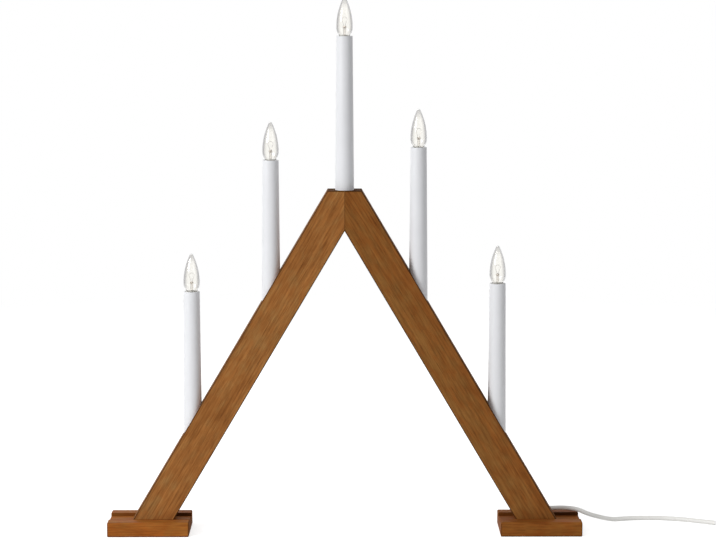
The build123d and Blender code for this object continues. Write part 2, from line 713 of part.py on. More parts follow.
PLUG_Z = PLUG_THICKNESS / 2
PLUG_START = Vector(PLUG_X, PLUG_Y, PLUG_Z)
PLUG_BACK = PLUG_START + Vector(RELIEF_LENGTH, 0, 0)
PLUG_FACE = PLUG_BACK + Vector(PLUG_LENGTH, 0, 0)


def pin_places():
    """Points on the plug's face where its pins stand."""
    return [PLUG_FACE + Vector(0, y, 0) for y in (-PIN_SPACING / 2, PIN_SPACING / 2)]


def plug_body():
    """Flat moulded plug with its tapered, slotted strain relief."""
    neck, shoulder, cheek = PLUG_NECK_WIDTH / 2, PLUG_SHOULDER_WIDTH / 2, PLUG_WIDTH / 2
    half = [
        (0, neck),
        (PLUG_LENGTH * PLUG_SHOULDER_SHARE, shoulder),
        (PLUG_LENGTH * PLUG_CHEEK_SHARE, cheek),
        (PLUG_LENGTH, cheek),
    ]
    outline = make_face(Polyline(*half, *[(x, -y) for x, y in reversed(half)], close=True))
    outline = fillet(outline.vertices().sort_by(Axis.X)[2:], PLUG_CORNER_ROUND)
    body = extrude(outline, PLUG_THICKNESS / 2, both=True)
    flats = body.faces().filter_by(Axis.Z)
    body = Pos(PLUG_BACK) * fillet(flats.edges(), PLUG_EDGE_ROUND)
    body += Plane(origin=PLUG_START, z_dir=(1, 0, 0)) * strain_relief()
    for place in pin_places():
        socket_depth = PIN_ROOT_DEPTH + TIGHT_CLEARANCE
        body -= drill(PIN_ROOT_RADIUS + TIGHT_CLEARANCE, place, (-1, 0, 0), socket_depth)
    return body


def strain_relief():
    """Tapered sleeve with slots round it, from the cord's end up to the plug."""
    taper = (RELIEF_ROOT_RADIUS - RELIEF_END_RADIUS) / RELIEF_LENGTH
    step = RELIEF_LENGTH / (RELIEF_SLOT_COUNT + 1)
    outline = [(0, 0), (RELIEF_END_RADIUS, 0)]
    for k in range(1, RELIEF_SLOT_COUNT + 1):
        low = step * (k - RELIEF_SLOT_SHARE / 2)
        high = step * (k + RELIEF_SLOT_SHARE / 2)
        outline.append((RELIEF_END_RADIUS + taper * low, low))
        outline.append((RELIEF_END_RADIUS + taper * low - RELIEF_SLOT_DEPTH, low))
        outline.append((RELIEF_END_RADIUS + taper * high - RELIEF_SLOT_DEPTH, high))
        outline.append((RELIEF_END_RADIUS + taper * high, high))
    outline += [(RELIEF_ROOT_RADIUS, RELIEF_LENGTH), (0, RELIEF_LENGTH)]
    return revolved(*outline)


def plug_pin(place):
    """Pin with a thin root, in the plug and its sleeve, and a full end."""
    pin = revolved(
        (0, -PIN_ROOT_DEPTH),
        (PIN_ROOT_RADIUS, -PIN_ROOT_DEPTH),
        (PIN_ROOT_RADIUS, SLEEVE_LENGTH),
        (PIN_RADIUS, SLEEVE_LENGTH),
        (PIN_RADIUS, PIN_LENGTH),
        (0, PIN_LENGTH),
    )
    pin = fillet(pin.edges().group_by(Axis.Z)[-1], PIN_END_ROUND)
    return Plane(origin=place, z_dir=(1, 0, 0)) * pin


def pin_sleeve(place):
    """Insulating sleeve round a pin's root."""
    bore = PIN_ROOT_RADIUS + TIGHT_CLEARANCE
    sleeve = revolved((bore, 0), (SLEEVE_RADIUS, 0), (SLEEVE_RADIUS, SLEEVE_LENGTH), (bore, SLEEVE_LENGTH))
    return Plane(origin=place, z_dir=(1, 0, 0)) * sleeve


def print_cord(name, solid, path, radii):
    """Print a cord's length, its volume against its section times its length, and its radii."""
    plain_volume = Circle(CORD_RADIUS).area * path.length
    print(name, "length", round(path.length, 1), "volume share", round(solid.volume / plain_volume, 4))
    if radii:
        print(name, "radii in diameters", [round(r / CORD_DIAMETER, 1) for r in radii])


def build():
    """All nodes of the part by name."""
    nodes = {}
    for name, side in (("left", LEFT), ("right", RIGHT)):
        nodes[name + "_leg"] = leg(side)
        nodes[name + "_foot"] = foot(side)
        nodes[name + "_flat_lead"] = flat_lead(side)
    nodes["mitre_dowels"] = Compound(children=[dowel(place) for place in dowel_places()])
    screws = [foot_screw(place) for side in (LEFT, RIGHT) for place in foot_screw_places(side)]
    nodes["foot_screws"] = Compound(children=screws)
    staples = [staple(side, z) for side in (LEFT, RIGHT) for z in staple_heights(side)]
    nodes["lead_staples"] = Compound(children=staples)

    pieces = {
        "candle_tube": candle_tube(),
        "lamp_holder": lamp_holder(),
        "socket_shell": socket_shell(),
        "lamp_glass": lamp_glass(),
        "lamp_cap": lamp_cap(),
        "lamp_base": lamp_base(),
        "lamp_mount": lamp_mount(),
    }
    for candle in CANDLES:
        for name, piece in pieces.items():
            nodes[candle + "_" + name] = candle_place(candle) * piece
    contact = centre_contact()
    nodes["centre_contacts"] = Compound(children=[candle_place(candle) * contact for candle in CANDLES])
    nodes["candle_leads"] = Compound(children=[lead for candle in CANDLES for lead in candle_leads(candle)])

    nodes["cord_clip"] = cord_clip()
    nodes["clip_screw"] = clip_screw()
    nodes["feed_lead"], feed_radii, feed_path = feed_lead()
    print_cord("feed", nodes["feed_lead"], feed_path, feed_radii)
    nodes["cord_coil"], coil_path, coil_start, coil_end = cord_coil()
    print_cord("coil", nodes["cord_coil"], coil_path, None)
    print("coil least gap to itself", round(least_gap(coil_path, CORD_DIAMETER), 2))
    lead = Vector(CORD_LEAD, 0, 0)
    run_route = (EXIT, EXIT + lead, *CORD_ROUTE, coil_start - lead, coil_start)
    nodes["cord_run"], run_radii, run_path = cord_along(run_route, CORD_RADIUS)
    print_cord("run", nodes["cord_run"], run_path, run_radii)
    lead = Vector(TAIL_LEAD, 0, 0)
    tail_route = (coil_end, coil_end + lead, PLUG_START - lead, PLUG_START)
    nodes["cord_tail"], tail_radii, tail_path = cord_along(tail_route, CORD_RADIUS)
    print_cord("tail", nodes["cord_tail"], tail_path, tail_radii)
    print("free cord length", round(run_path.length + coil_path.length + tail_path.length, 1))
    nodes["cord_tie"] = cord_tie()
    nodes["plug_body"] = plug_body()
    nodes["plug_pins"] = Compound(children=[plug_pin(place) for place in pin_places()])
    nodes["plug_sleeves"] = Compound(children=[pin_sleeve(place) for place in pin_places()])
    return nodes


os.makedirs("parts", exist_ok=True)
for node, shape in build().items():
    export_step(shape, f"parts/{node}.step")
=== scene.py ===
import math
from typing import NamedTuple

import bmesh
import bpy
from mathutils import Euler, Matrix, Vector


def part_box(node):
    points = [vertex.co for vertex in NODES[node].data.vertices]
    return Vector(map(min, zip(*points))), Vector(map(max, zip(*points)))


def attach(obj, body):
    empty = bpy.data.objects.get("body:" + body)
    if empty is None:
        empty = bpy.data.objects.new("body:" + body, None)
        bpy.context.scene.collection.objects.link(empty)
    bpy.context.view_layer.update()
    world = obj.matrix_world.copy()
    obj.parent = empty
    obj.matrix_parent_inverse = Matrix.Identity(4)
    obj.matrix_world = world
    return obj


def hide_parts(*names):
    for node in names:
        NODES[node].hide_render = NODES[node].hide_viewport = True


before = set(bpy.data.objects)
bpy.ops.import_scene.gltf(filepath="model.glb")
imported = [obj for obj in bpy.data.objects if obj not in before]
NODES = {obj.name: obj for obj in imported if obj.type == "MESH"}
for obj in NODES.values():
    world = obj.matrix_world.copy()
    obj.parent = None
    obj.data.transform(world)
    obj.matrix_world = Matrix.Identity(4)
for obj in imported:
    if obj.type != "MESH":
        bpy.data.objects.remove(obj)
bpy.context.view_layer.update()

bl_info = {
    "name": "Candle arch",
    "version": (1, 0, 0),
    "blender": (4, 5, 0),
    "location": "3D View > Sidebar > Candle arch",
    "description": "Dresses the solids of an electric candle arch with its finishes, lamps and cord",
    "category": "Add Mesh",
}

MM = 0.001
CANDLES = ("top", "upper_left", "upper_right", "lower_left", "lower_right")
SIDES = {"left": -1, "right": 1}
ROOT_BODY = "arch"
HEIGHT = "height"  # attribute of a lamp's glass: height above the tube's rim


def tone(red, green, blue):
    """Linear colour from a display colour of 0 to 255."""
    shares = [channel / 255 for channel in (red, green, blue)]
    return tuple(((share + 0.055) / 1.055) ** 2.4 for share in shares)


# Sizes and colours that a user would change


class WoodSettings(bpy.types.PropertyGroup):
    light_stain: bpy.props.FloatVectorProperty(
        name="Light stain", description="Stain on the pale early wood", subtype="COLOR",
        default=tone(176, 116, 60))
    dark_stain: bpy.props.FloatVectorProperty(
        name="Dark stain", description="Stain in the dark late wood", subtype="COLOR",
        default=tone(106, 62, 25))
    # Stain on edges, ends and in pores; the same colour is also the painted shade in the feet's grooves and the
    # painted shadow of the legs on the feet
    stain_and_shade_colour: bpy.props.FloatVectorProperty(
        name="Gathered stain", description="Stain on edges, ends and in pores", subtype="COLOR",
        default=tone(54, 29, 12))
    bare_wood: bpy.props.FloatVectorProperty(
        name="Bare wood", description="Unstained wood of the dowels", subtype="COLOR",
        default=tone(205, 168, 120))
    # The left boards are made lighter and the right ones darker, partly for their own tone and partly as painted
    # light from the left
    left_tone_and_light: bpy.props.FloatProperty(
        name="Left boards", description="How light the boards on the left are", default=1.14, min=0.5, max=1.5)
    right_tone_and_light: bpy.props.FloatProperty(
        name="Right boards", description="How light the boards on the right are", default=0.82, min=0.5, max=1.5)
    edge_depth: bpy.props.FloatProperty(
        name="Edge depth", description="How far stain gathers in from an edge", default=1.3 * MM, unit="LENGTH")
    ring_step: bpy.props.FloatProperty(
        name="Ring step", description="Width of one year's growth", default=2.6 * MM, unit="LENGTH")


class CandleSettings(bpy.types.PropertyGroup):
    white: bpy.props.FloatVectorProperty(
        name="White", description="Moulded candle tubes", subtype="COLOR", default=tone(238, 239, 242))
    rim_round: bpy.props.FloatProperty(
        name="Rim round", description="Rounding of a tube's rim", default=0.45 * MM, unit="LENGTH")
    wall: bpy.props.FloatProperty(
        name="Wall", description="Wall of a tube", default=1.2 * MM, unit="LENGTH")


class LampSettings(bpy.types.PropertyGroup):
    glass_wall: bpy.props.FloatProperty(
        name="Glass wall", description="Thickness of the blown glass", default=0.6 * MM, unit="LENGTH")
    # Grey painted in as shade where the glass is seen edge on
    glass_edge_shade: bpy.props.FloatVectorProperty(
        name="Glass edge", description="Tint of the glass where it is seen edge on", subtype="COLOR",
        default=tone(176, 175, 177))
    thread_pitch: bpy.props.FloatProperty(
        name="Thread pitch", description="Rise of the cap's thread in one turn", default=1.814 * MM,
        unit="LENGTH")
    thread_depth: bpy.props.FloatProperty(
        name="Thread depth", description="Depth of the rolled thread", default=0.42 * MM, unit="LENGTH")
    wire_radius: bpy.props.FloatProperty(
        name="Support wire", description="Radius of the support wires", default=0.15 * MM, unit="LENGTH")
    coil_radius: bpy.props.FloatProperty(
        name="Filament coil", description="Radius of the filament's coil", default=0.3 * MM, unit="LENGTH")
    brass: bpy.props.FloatVectorProperty(
        name="Brass", description="Caps, shells and contacts", subtype="COLOR", default=tone(205, 165, 90))


class CordSettings(bpy.types.PropertyGroup):
    white: bpy.props.FloatVectorProperty(
        name="White", description="Sheath of the cord and leads", subtype="COLOR",
        default=tone(247, 246, 242))
    diameter: bpy.props.FloatProperty(
        name="Diameter", description="Thickness of the mains cord", default=4.6 * MM, unit="LENGTH")
    length: bpy.props.FloatProperty(
        name="Length", description="Free cord from the clip to the plug", default=1.522, unit="LENGTH")


class StageSettings(bpy.types.PropertyGroup):
    key_power: bpy.props.FloatProperty(
        name="Key light", description="Power of the soft light on the left", default=57.5, min=0, unit="POWER")
    fill_power: bpy.props.FloatProperty(
        name="Fill light", description="Power of the soft light on the right", default=3.5, min=0, unit="POWER")
    back_power: bpy.props.FloatProperty(
        name="Back light", description="Power of the soft light behind", default=14.0, min=0, unit="POWER")
    room_light: bpy.props.FloatProperty(
        name="Room light", description="Strength of the light from all round", default=0.45, min=0, max=2)
    floor_lift: bpy.props.FloatProperty(
        name="Floor lift", description="How much paler the camera sees the floor", default=0.66, min=0, max=1)


class CandleArchSettings(bpy.types.PropertyGroup):
    wood: bpy.props.PointerProperty(type=WoodSettings)
    candle: bpy.props.PointerProperty(type=CandleSettings)
    lamp: bpy.props.PointerProperty(type=LampSettings)
    cord: bpy.props.PointerProperty(type=CordSettings)
    stage: bpy.props.PointerProperty(type=StageSettings)


# Finishes


class Value:
    """A shader socket that adds Math nodes when it is used in arithmetic."""

    def __init__(self, finish, socket):
        self.finish = finish
        self.socket = socket

    def math(self, operation, *terms):
        return self.finish.value("ShaderNodeMath", {"operation": operation}, dict(enumerate(terms)))

    def __add__(self, other):
        return self.math("ADD", self, other)

    __radd__ = __add__

    def __sub__(self, other):
        return self.math("SUBTRACT", self, other)

    def __rsub__(self, other):
        return self.math("SUBTRACT", other, self)

    def __mul__(self, other):
        return self.math("MULTIPLY", self, other)

    __rmul__ = __mul__

    def __abs__(self):
        return self.math("ABSOLUTE", self)

    def either(self, other):
        return self.math("MAXIMUM", self, other)

    def ramp(self, low, high):
        """0 below low, 1 above high, smooth between."""
        return self.finish.value(
            "ShaderNodeMapRange", {"interpolation_type": "SMOOTHSTEP"},
            {0: self, 1: low, 2: high, 3: 0.0, 4: 1.0})


class Finish:
    """The nodes of a material, or of the room, while they are laid."""

    def __init__(self, owner):
        owner.use_nodes = True
        self.owner = owner
        self.tree = owner.node_tree
        self.tree.nodes.clear()

    def node(self, kind, settings=None, inputs=None):
        node = self.tree.nodes.new(kind)
        for key, setting in (settings or {}).items():
            setattr(node, key, setting)
        for key, term in (inputs or {}).items():
            if isinstance(term, Value):
                self.tree.links.new(term.socket, node.inputs[key])
            else:
                node.inputs[key].default_value = term
        return node

    def value(self, kind, settings=None, inputs=None, output=0):
        return Value(self, self.node(kind, settings, inputs).outputs[output])

    def place(self):
        return self.value("ShaderNodeTexCoord", output="Object")

    def mapped(self, vector, **changes):
        return self.value(
            "ShaderNodeMapping", None, {"Vector": vector, **{key.title(): term for key, term in changes.items()}})

    def noise(self, vector, scale=1.0, detail=2.0, roughness=0.5, distortion=0.0):
        inputs = {"Vector": vector, "Scale": scale, "Detail": detail, "Roughness": roughness}
        return self.value("ShaderNodeTexNoise", None, {**inputs, "Distortion": distortion})

    def streaks(self, vector, scale, **inputs):
        """Noise drawn out along an axis."""
        return self.noise(self.mapped(vector, scale=scale), **inputs)

    def mix(self, factor, first, second, blend="MIX"):
        settings = {"data_type": "RGBA", "blend_type": blend, "clamp_factor": True}
        return self.value("ShaderNodeMix", settings, {0: factor, 6: opaque(first), 7: opaque(second)}, 2)

    def axes(self, vector):
        node = self.node("ShaderNodeSeparateXYZ", None, {0: vector})
        return [Value(self, output) for output in node.outputs]

    def bump(self, height, depth, strength=1.0):
        return self.value("ShaderNodeBump", None, {"Height": height, "Distance": depth, "Strength": strength})

    def surface(self, **inputs):
        named = {key.replace("_", " ").title().replace("Ior", "IOR"): term for key, term in inputs.items()}
        shader = self.value("ShaderNodeBsdfPrincipled", None, named, "BSDF")
        self.node("ShaderNodeOutputMaterial", None, {"Surface": shader})
        return self.owner


def new_finish(name):
    return Finish(bpy.data.materials.new(name))


def opaque(colour):
    """A colour with its alpha, or a socket as it is."""
    return colour if isinstance(colour, Value) else (*colour[:3], 1.0)


def darker(colour, share):
    return tuple(channel * share for channel in colour)


class Board(NamedTuple):
    """Where a stained board lies: its grain's turn, its middle and reach across and along it, and its tint."""

    turn: tuple
    middle: float
    half_width: float
    half_depth: float
    end_axis: int
    end_middle: float
    end_reach: float
    tint: tuple
    shades: tuple  # how much stain its narrow sides and its ends take up
    groove: tuple = ()  # half width and floor height of a groove along x, whose corners get painted shade


LOG_OFFSET = (31 * MM, 46 * MM)  # from the board's middle to the middle of the log it was sawn from
LOG_SLANT = (math.radians(1.3), math.radians(2.2), 0)
WARM_HUE, COOL_HUE = (1.07, 0.95, 0.84), (0.95, 1.04, 1.1)
SIDE_DEPTH, END_DEPTH = 0.4 * MM, 1.3 * MM  # how far in the stain of a narrow side and of an end reaches
MITRE_LINE = (0.1 * MM, 0.8 * MM)  # distances from the mitre over which its dark line fades
GROOVE_SHADE_FADE = (0.4 * MM, 2.2 * MM)  # the same for the shade painted in a groove's corners
# height below the groove's floor over which its painted shade fades out
GROOVE_SHADE_EASE = 0.6 * MM
LEG_SHADOW_HALF_RUN = 5 * MM  # half of the run below a leg over which a foot's painted shade deepens to the right, as a painted shadow of the leg


def stained_wood(name, board, seed):
    """Stained board: grain along the turned Z axis, the log's rings, open pores, darker edges and ends, and on a
    foot painted shade in the groove's corners that deepens right of the leg, where a painted shadow of the leg
    also darkens the right-hand end.
    """
    wood = bpy.context.scene.candle_arch.wood
    finish = new_finish(name)
    place = finish.place()
    turned = finish.mapped(place, rotation=board.turn)
    across, deep, _ = finish.axes(turned)
    grain = finish.mapped(turned, location=seed)
    drift = finish.streaks(grain, (36, 36, 5), detail=2.0)
    mottle = finish.streaks(grain, (150, 150, 70), detail=2.0)
    bands = finish.streaks(grain, (200, 200, 24), detail=3.0, roughness=0.6, distortion=0.4)
    fibres = finish.streaks(grain, (700, 700, 50), detail=3.0, roughness=0.65)
    fleck = finish.streaks(grain, (1700, 1700, 70), detail=1.0)
    pores = finish.streaks(grain, (2100, 2100, 60), detail=1.0).ramp(0.63, 0.71)
    heart = (LOG_OFFSET[0] - board.middle, LOG_OFFSET[1], seed[2])
    log = finish.mapped(turned, location=heart, rotation=LOG_SLANT)
    rings = finish.value(
        "ShaderNodeTexWave",
        {"wave_type": "RINGS", "rings_direction": "Z", "wave_profile": "SAW"},
        {"Vector": finish.mapped(log, scale=(1, 1, 0.05)), "Scale": math.pi / 10 / wood.ring_step,
         "Distortion": 3.4, "Detail": 2.0, "Detail Scale": 0.7},
        "Fac")
    late_wood = rings.ramp(0.45, 1.0)
    figure = 0.54 + (drift - 0.5) * 0.6 + (bands - 0.5) * 0.85 + (fibres - 0.5) * 0.95
    figure = figure + (mottle - 0.5) * 0.4 - late_wood * 0.12
    colour = finish.mix(figure, tuple(wood.dark_stain), tuple(wood.light_stain))
    hue = finish.mix((drift * 0.5 + mottle * 0.5).ramp(0.38, 0.62), WARM_HUE, COOL_HUE)
    colour = finish.mix(1.0, colour, hue, "MULTIPLY")
    x, y, z = axes = finish.axes(place)
    face_edge = near(deep, board.half_depth, wood.edge_depth)
    edge = near(across - board.middle, board.half_width, wood.edge_depth) * face_edge
    side = near(across - board.middle, board.half_width, SIDE_DEPTH)
    cut_end = near(axes[board.end_axis] - board.end_middle, board.end_reach, END_DEPTH)
    mitre = 1 - abs(x).ramp(*MITRE_LINE)
    side_shade, end_shade = board.shades
    stain_and_shade = (edge * 0.96).either(cut_end * end_shade).either(side * side_shade)
    stain_and_shade = stain_and_shade.either(mitre * 0.4).either(pores * 0.34)
    # On a foot, painted shade darkens the groove's corners, the back walls and the floor next to them
    if board.groove:
        half, floor = board.groove
        # Right of the leg the painted shade grows, as a painted shadow of the leg
        right = (x - board.end_middle).ramp(-LEG_SHADOW_HALF_RUN, LEG_SHADOW_HALF_RUN)
        groove_shade = 1 - abs(abs(y) - half).ramp(*GROOVE_SHADE_FADE)
        groove_shade = groove_shade * z.ramp(floor - GROOVE_SHADE_EASE, floor) * (0.4 + right * 0.4)
        # The right-hand end gets a painted shadow of the leg, over a dark line along the end's edges
        end_edge_and_shadow = (face_edge * 0.65).either(right * 0.6)
        stain_and_shade = stain_and_shade.either(groove_shade).either(cut_end * end_edge_and_shadow)
    colour = finish.mix(stain_and_shade, colour, tuple(wood.stain_and_shade_colour))
    colour = finish.mix(1.0, colour, board.tint, "MULTIPLY")
    return finish.surface(
        base_color=colour,
        roughness=0.58 + (fibres - 0.5) * 0.3 + stain_and_shade * 0.4,
        specular_ior_level=0.07,
        normal=finish.bump(bands * 0.2 + fibres * 0.5 + fleck * 0.2 - pores * 0.6, 0.14 * MM, 0.6),
    )


def near(distance, reach, depth):
    """1 at a reach from zero on either side, fading inwards over a depth."""
    return abs(distance).ramp(reach - depth, reach - 0.2 * depth)


def bare_wood(name):
    """Turned bare wood of the dowels, with its grain across the arch."""
    finish = new_finish(name)
    fibres = finish.streaks(finish.place(), (30, 900, 900), detail=3.0)
    pale = tuple(bpy.context.scene.candle_arch.wood.bare_wood)
    colour = finish.mix(fibres, darker(pale, 0.62), pale)
    return finish.surface(base_color=colour, roughness=0.6 + fibres * 0.2, normal=finish.bump(fibres, 0.1 * MM))


def moulded(name, colour, roughness, shade=0.06, specular=0.4, ripple=0.02 * MM):
    """Moulded plastic: faint drift of colour, flow ripples and a fine surface grain."""
    finish = new_finish(name)
    place = finish.place()
    drift = finish.noise(place, 45.0, 3.0)
    ripples = finish.streaks(place, (160, 160, 30))
    fine = finish.noise(place, 2600.0)
    return finish.surface(
        base_color=finish.mix(drift.ramp(0.3, 0.7) * 0.6 + fine * 0.15, colour, darker(colour, 1 - 2 * shade)),
        roughness=roughness + (fine - 0.5) * 0.16 + (drift - 0.5) * 0.1,
        specular_ior_level=specular,
        normal=finish.bump(ripples + fine * 0.25, ripple, 0.6),
    )


def bright_metal(name, colour, roughness, spots=0.25):
    """Plated or rolled metal with drawn lines, dull spots and handling marks."""
    finish = new_finish(name)
    place = finish.place()
    drawn = finish.streaks(place, (300, 300, 2600), detail=3.0)
    dull = finish.noise(place, 260.0, 4.0, 0.65).ramp(0.5, 0.72)
    return finish.surface(
        base_color=finish.mix(dull * spots + drawn * 0.12, colour, darker(colour, 0.55)),
        metallic=1.0,
        roughness=roughness + dull * 0.22 + (drawn - 0.5) * 0.12,
        normal=finish.bump(drawn, 0.02 * MM, 0.5),
    )


def clear_glass(name, colour, edge_shade_colour, roughness=0.0, thick=(1.0, 2.0)):
    """Clear blown glass: faint waves, a little dust, grey painted shade where it is seen edge on, and a grey tint
    where it is drawn thick.
    """
    finish = new_finish(name)
    place = finish.place()
    waves = finish.streaks(place, (90, 90, 40))
    dust = finish.noise(place, 900.0, 3.0).ramp(0.62, 0.8)
    # Painted shade: grey where the glass is seen edge on, weaker near the rim
    facing = finish.value("ShaderNodeLayerWeight", None, {"Blend": 0.5}, "Facing").ramp(0.08, 0.62)
    height = finish.value("ShaderNodeAttribute", {"attribute_name": HEIGHT}, None, "Fac")
    edge = facing * (0.25 + height.ramp(0.5 * MM, 5 * MM) * 0.75)
    drawn = height.ramp(*thick)
    return finish.surface(
        base_color=finish.mix(edge.either(drawn * 0.36) + dust * 0.05, colour, edge_shade_colour),
        roughness=roughness + dust * 0.06,
        transmission_weight=1.0,
        ior=1.47,
        normal=finish.bump(waves, 0.05 * MM, 0.12),
    )


def sheath(name, colour):
    """Soft cord sheath: faint bands from the coiling, dust and a satin gloss."""
    finish = new_finish(name)
    place = finish.place()
    drift = finish.noise(place, 28.0, 3.0)
    handled = finish.noise(place, 420.0, 4.0, 0.6).ramp(0.52, 0.75)
    fine = finish.noise(place, 3200.0)
    shade = finish.mix(drift.ramp(0.35, 0.65) * 0.5, colour, darker(colour, 0.9))
    return finish.surface(
        base_color=finish.mix(handled * 0.12, shade, darker(colour, 0.55)),
        roughness=0.42 + (fine - 0.5) * 0.12 + handled * 0.12,
        specular_ior_level=0.4,
        normal=finish.bump(fine * 0.6 + handled * 0.4, 0.025 * MM, 0.5),
    )


# Meshes


def outline(bm, points, closed=False):
    """Vertices and edges through points."""
    verts = [bm.verts.new(point) for point in points]
    pairs = list(zip(verts, verts[1:])) + ([(verts[-1], verts[0])] if closed else [])
    for pair in pairs:
        bm.edges.new(pair)
    return verts


def round_corners(bm, verts, radius, segments=4):
    """Rounds corners of an outline."""
    bmesh.ops.bevel(
        bm, geom=verts, offset=radius, offset_type="OFFSET", segments=segments, profile=0.5,
        affect="VERTICES", material=-1, clamp_overlap=True)


def swing(bm, vert, middle, angle, steps):
    """Draws an arc from a vertex about a middle, upwards in the XZ plane, and gives its last vertex."""
    made = bmesh.ops.spin(bm, geom=[vert], cent=middle, axis=(0, -1, 0), angle=angle, steps=steps)
    return made["geom_last"][0]


def spin_round(bm, centre, steps):
    """Spins an outline one full turn about an upright axis and closes its seams and poles."""
    bmesh.ops.spin(
        bm, geom=bm.edges[:] + bm.verts[:], cent=centre, axis=(0, 0, 1), angle=2 * math.pi, steps=steps,
        use_merge=True)
    bmesh.ops.remove_doubles(bm, verts=bm.verts[:], dist=0.002 * MM)
    bmesh.ops.dissolve_degenerate(bm, edges=bm.edges[:], dist=0.001 * MM)
    bmesh.ops.recalc_face_normals(bm, faces=bm.faces[:])


def turned_piece(centre, profile, corners=(), radius=0.0, steps=64, closed=False):
    """Mesh turned from (radius, height) points; the corners that are named get rounded."""
    bm = bmesh.new()
    verts = outline(bm, [centre + Vector((r, 0, z)) for r, z in profile], closed)
    if corners:
        round_corners(bm, [verts[k] for k in corners], radius)
    spin_round(bm, centre, steps)
    return bm


def fill_open_ends(bm):
    """Closes what is still open in a mesh."""
    bmesh.ops.holes_fill(bm, edges=[edge for edge in bm.edges if edge.is_boundary], sides=0)
    bmesh.ops.recalc_face_normals(bm, faces=bm.faces[:])


def join_into(bm, other, material=0):
    """Adds one mesh to another, in a material of its own."""
    for face in other.faces:
        face.material_index = material
    mesh = bpy.data.meshes.new("join")
    other.to_mesh(mesh)
    other.free()
    bm.from_mesh(mesh)
    bpy.data.meshes.remove(mesh)


def piece(bm, name, materials, nodes, body=ROOT_BODY, crease=35):
    """Turns a mesh into a piece of the arch, riding a body and standing for CAD nodes."""
    mesh = bpy.data.meshes.new(name)
    bm.to_mesh(mesh)
    bm.free()
    mesh.polygons.foreach_set("use_smooth", [True] * len(mesh.polygons))
    mesh.set_sharp_from_angle(angle=math.radians(crease))
    for material in materials:
        mesh.materials.append(material)
    return settle(bpy.data.objects.new(name, mesh), nodes, body)


def settle(made, nodes, body=ROOT_BODY):
    """Links a piece and body, and hides the CAD nodes that it stands for."""
    bpy.context.scene.collection.objects.link(made)
    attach(made, body)
    if nodes:
        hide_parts(*nodes)
    return made


def dress(material, *nodes):
    """Gives carried-over CAD nodes a finish."""
    for node in nodes:
        NODES[node].data.materials.clear()
        NODES[node].data.materials.append(material)


def curve_piece(name, runs, radius, material, nodes, body=ROOT_BODY, resolution=8):
    """Round wires or cords along runs of points; a fourth number is a point's share of the radius."""
    curve = bpy.data.curves.new(name, "CURVE")
    curve.dimensions = "3D"
    curve.bevel_depth = radius
    curve.bevel_resolution = 4
    curve.use_fill_caps = True
    for run in runs:
        spline = curve.splines.new("NURBS")
        spline.points.add(len(run) - 1)
        for point, where in zip(spline.points, run):
            point.co = (*where[:3], 1.0)
            point.radius = where[3] if len(where) > 3 else 1.0
        spline.order_u = 3
        spline.use_endpoint_u = True
        spline.resolution_u = resolution
    curve.materials.append(material)
    return settle(bpy.data.objects.new(name, curve), nodes, body)


def axis_of(node):
    """The top centre of a round upright CAD node."""
    low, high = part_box(node)
    return Vector(((low.x + high.x) / 2, (low.y + high.y) / 2, high.z))


def mm(*lengths):
    """A point or a list of lengths from millimetres."""
    return [length * MM for length in lengths]


# Stage

CAMERA_PLACE = (0.0, -2.3, 0.5634)
CAMERA_PITCH = 7.372
CAMERA_YAW = 0.332
CAMERA_LENS = 116.59
LIGHT_AIM = Vector((0, 0, 0.25))
LIGHTS = {  # places and sizes
    "key": ((-2.3, -1.7, 1.5), 1.3),
    "fill": ((2.2, -2.4, 1.6), 1.6),
    "back": ((-0.9, 2.6, 1.9), 1.8),
}
FLOOR_HALF = 6.0
FLOOR_COLOUR = (0.82, 0.82, 0.82, 1)
FLOOR_FADE = (0.75, 1.7)  # distances from the arch over which the floor fades to plain white


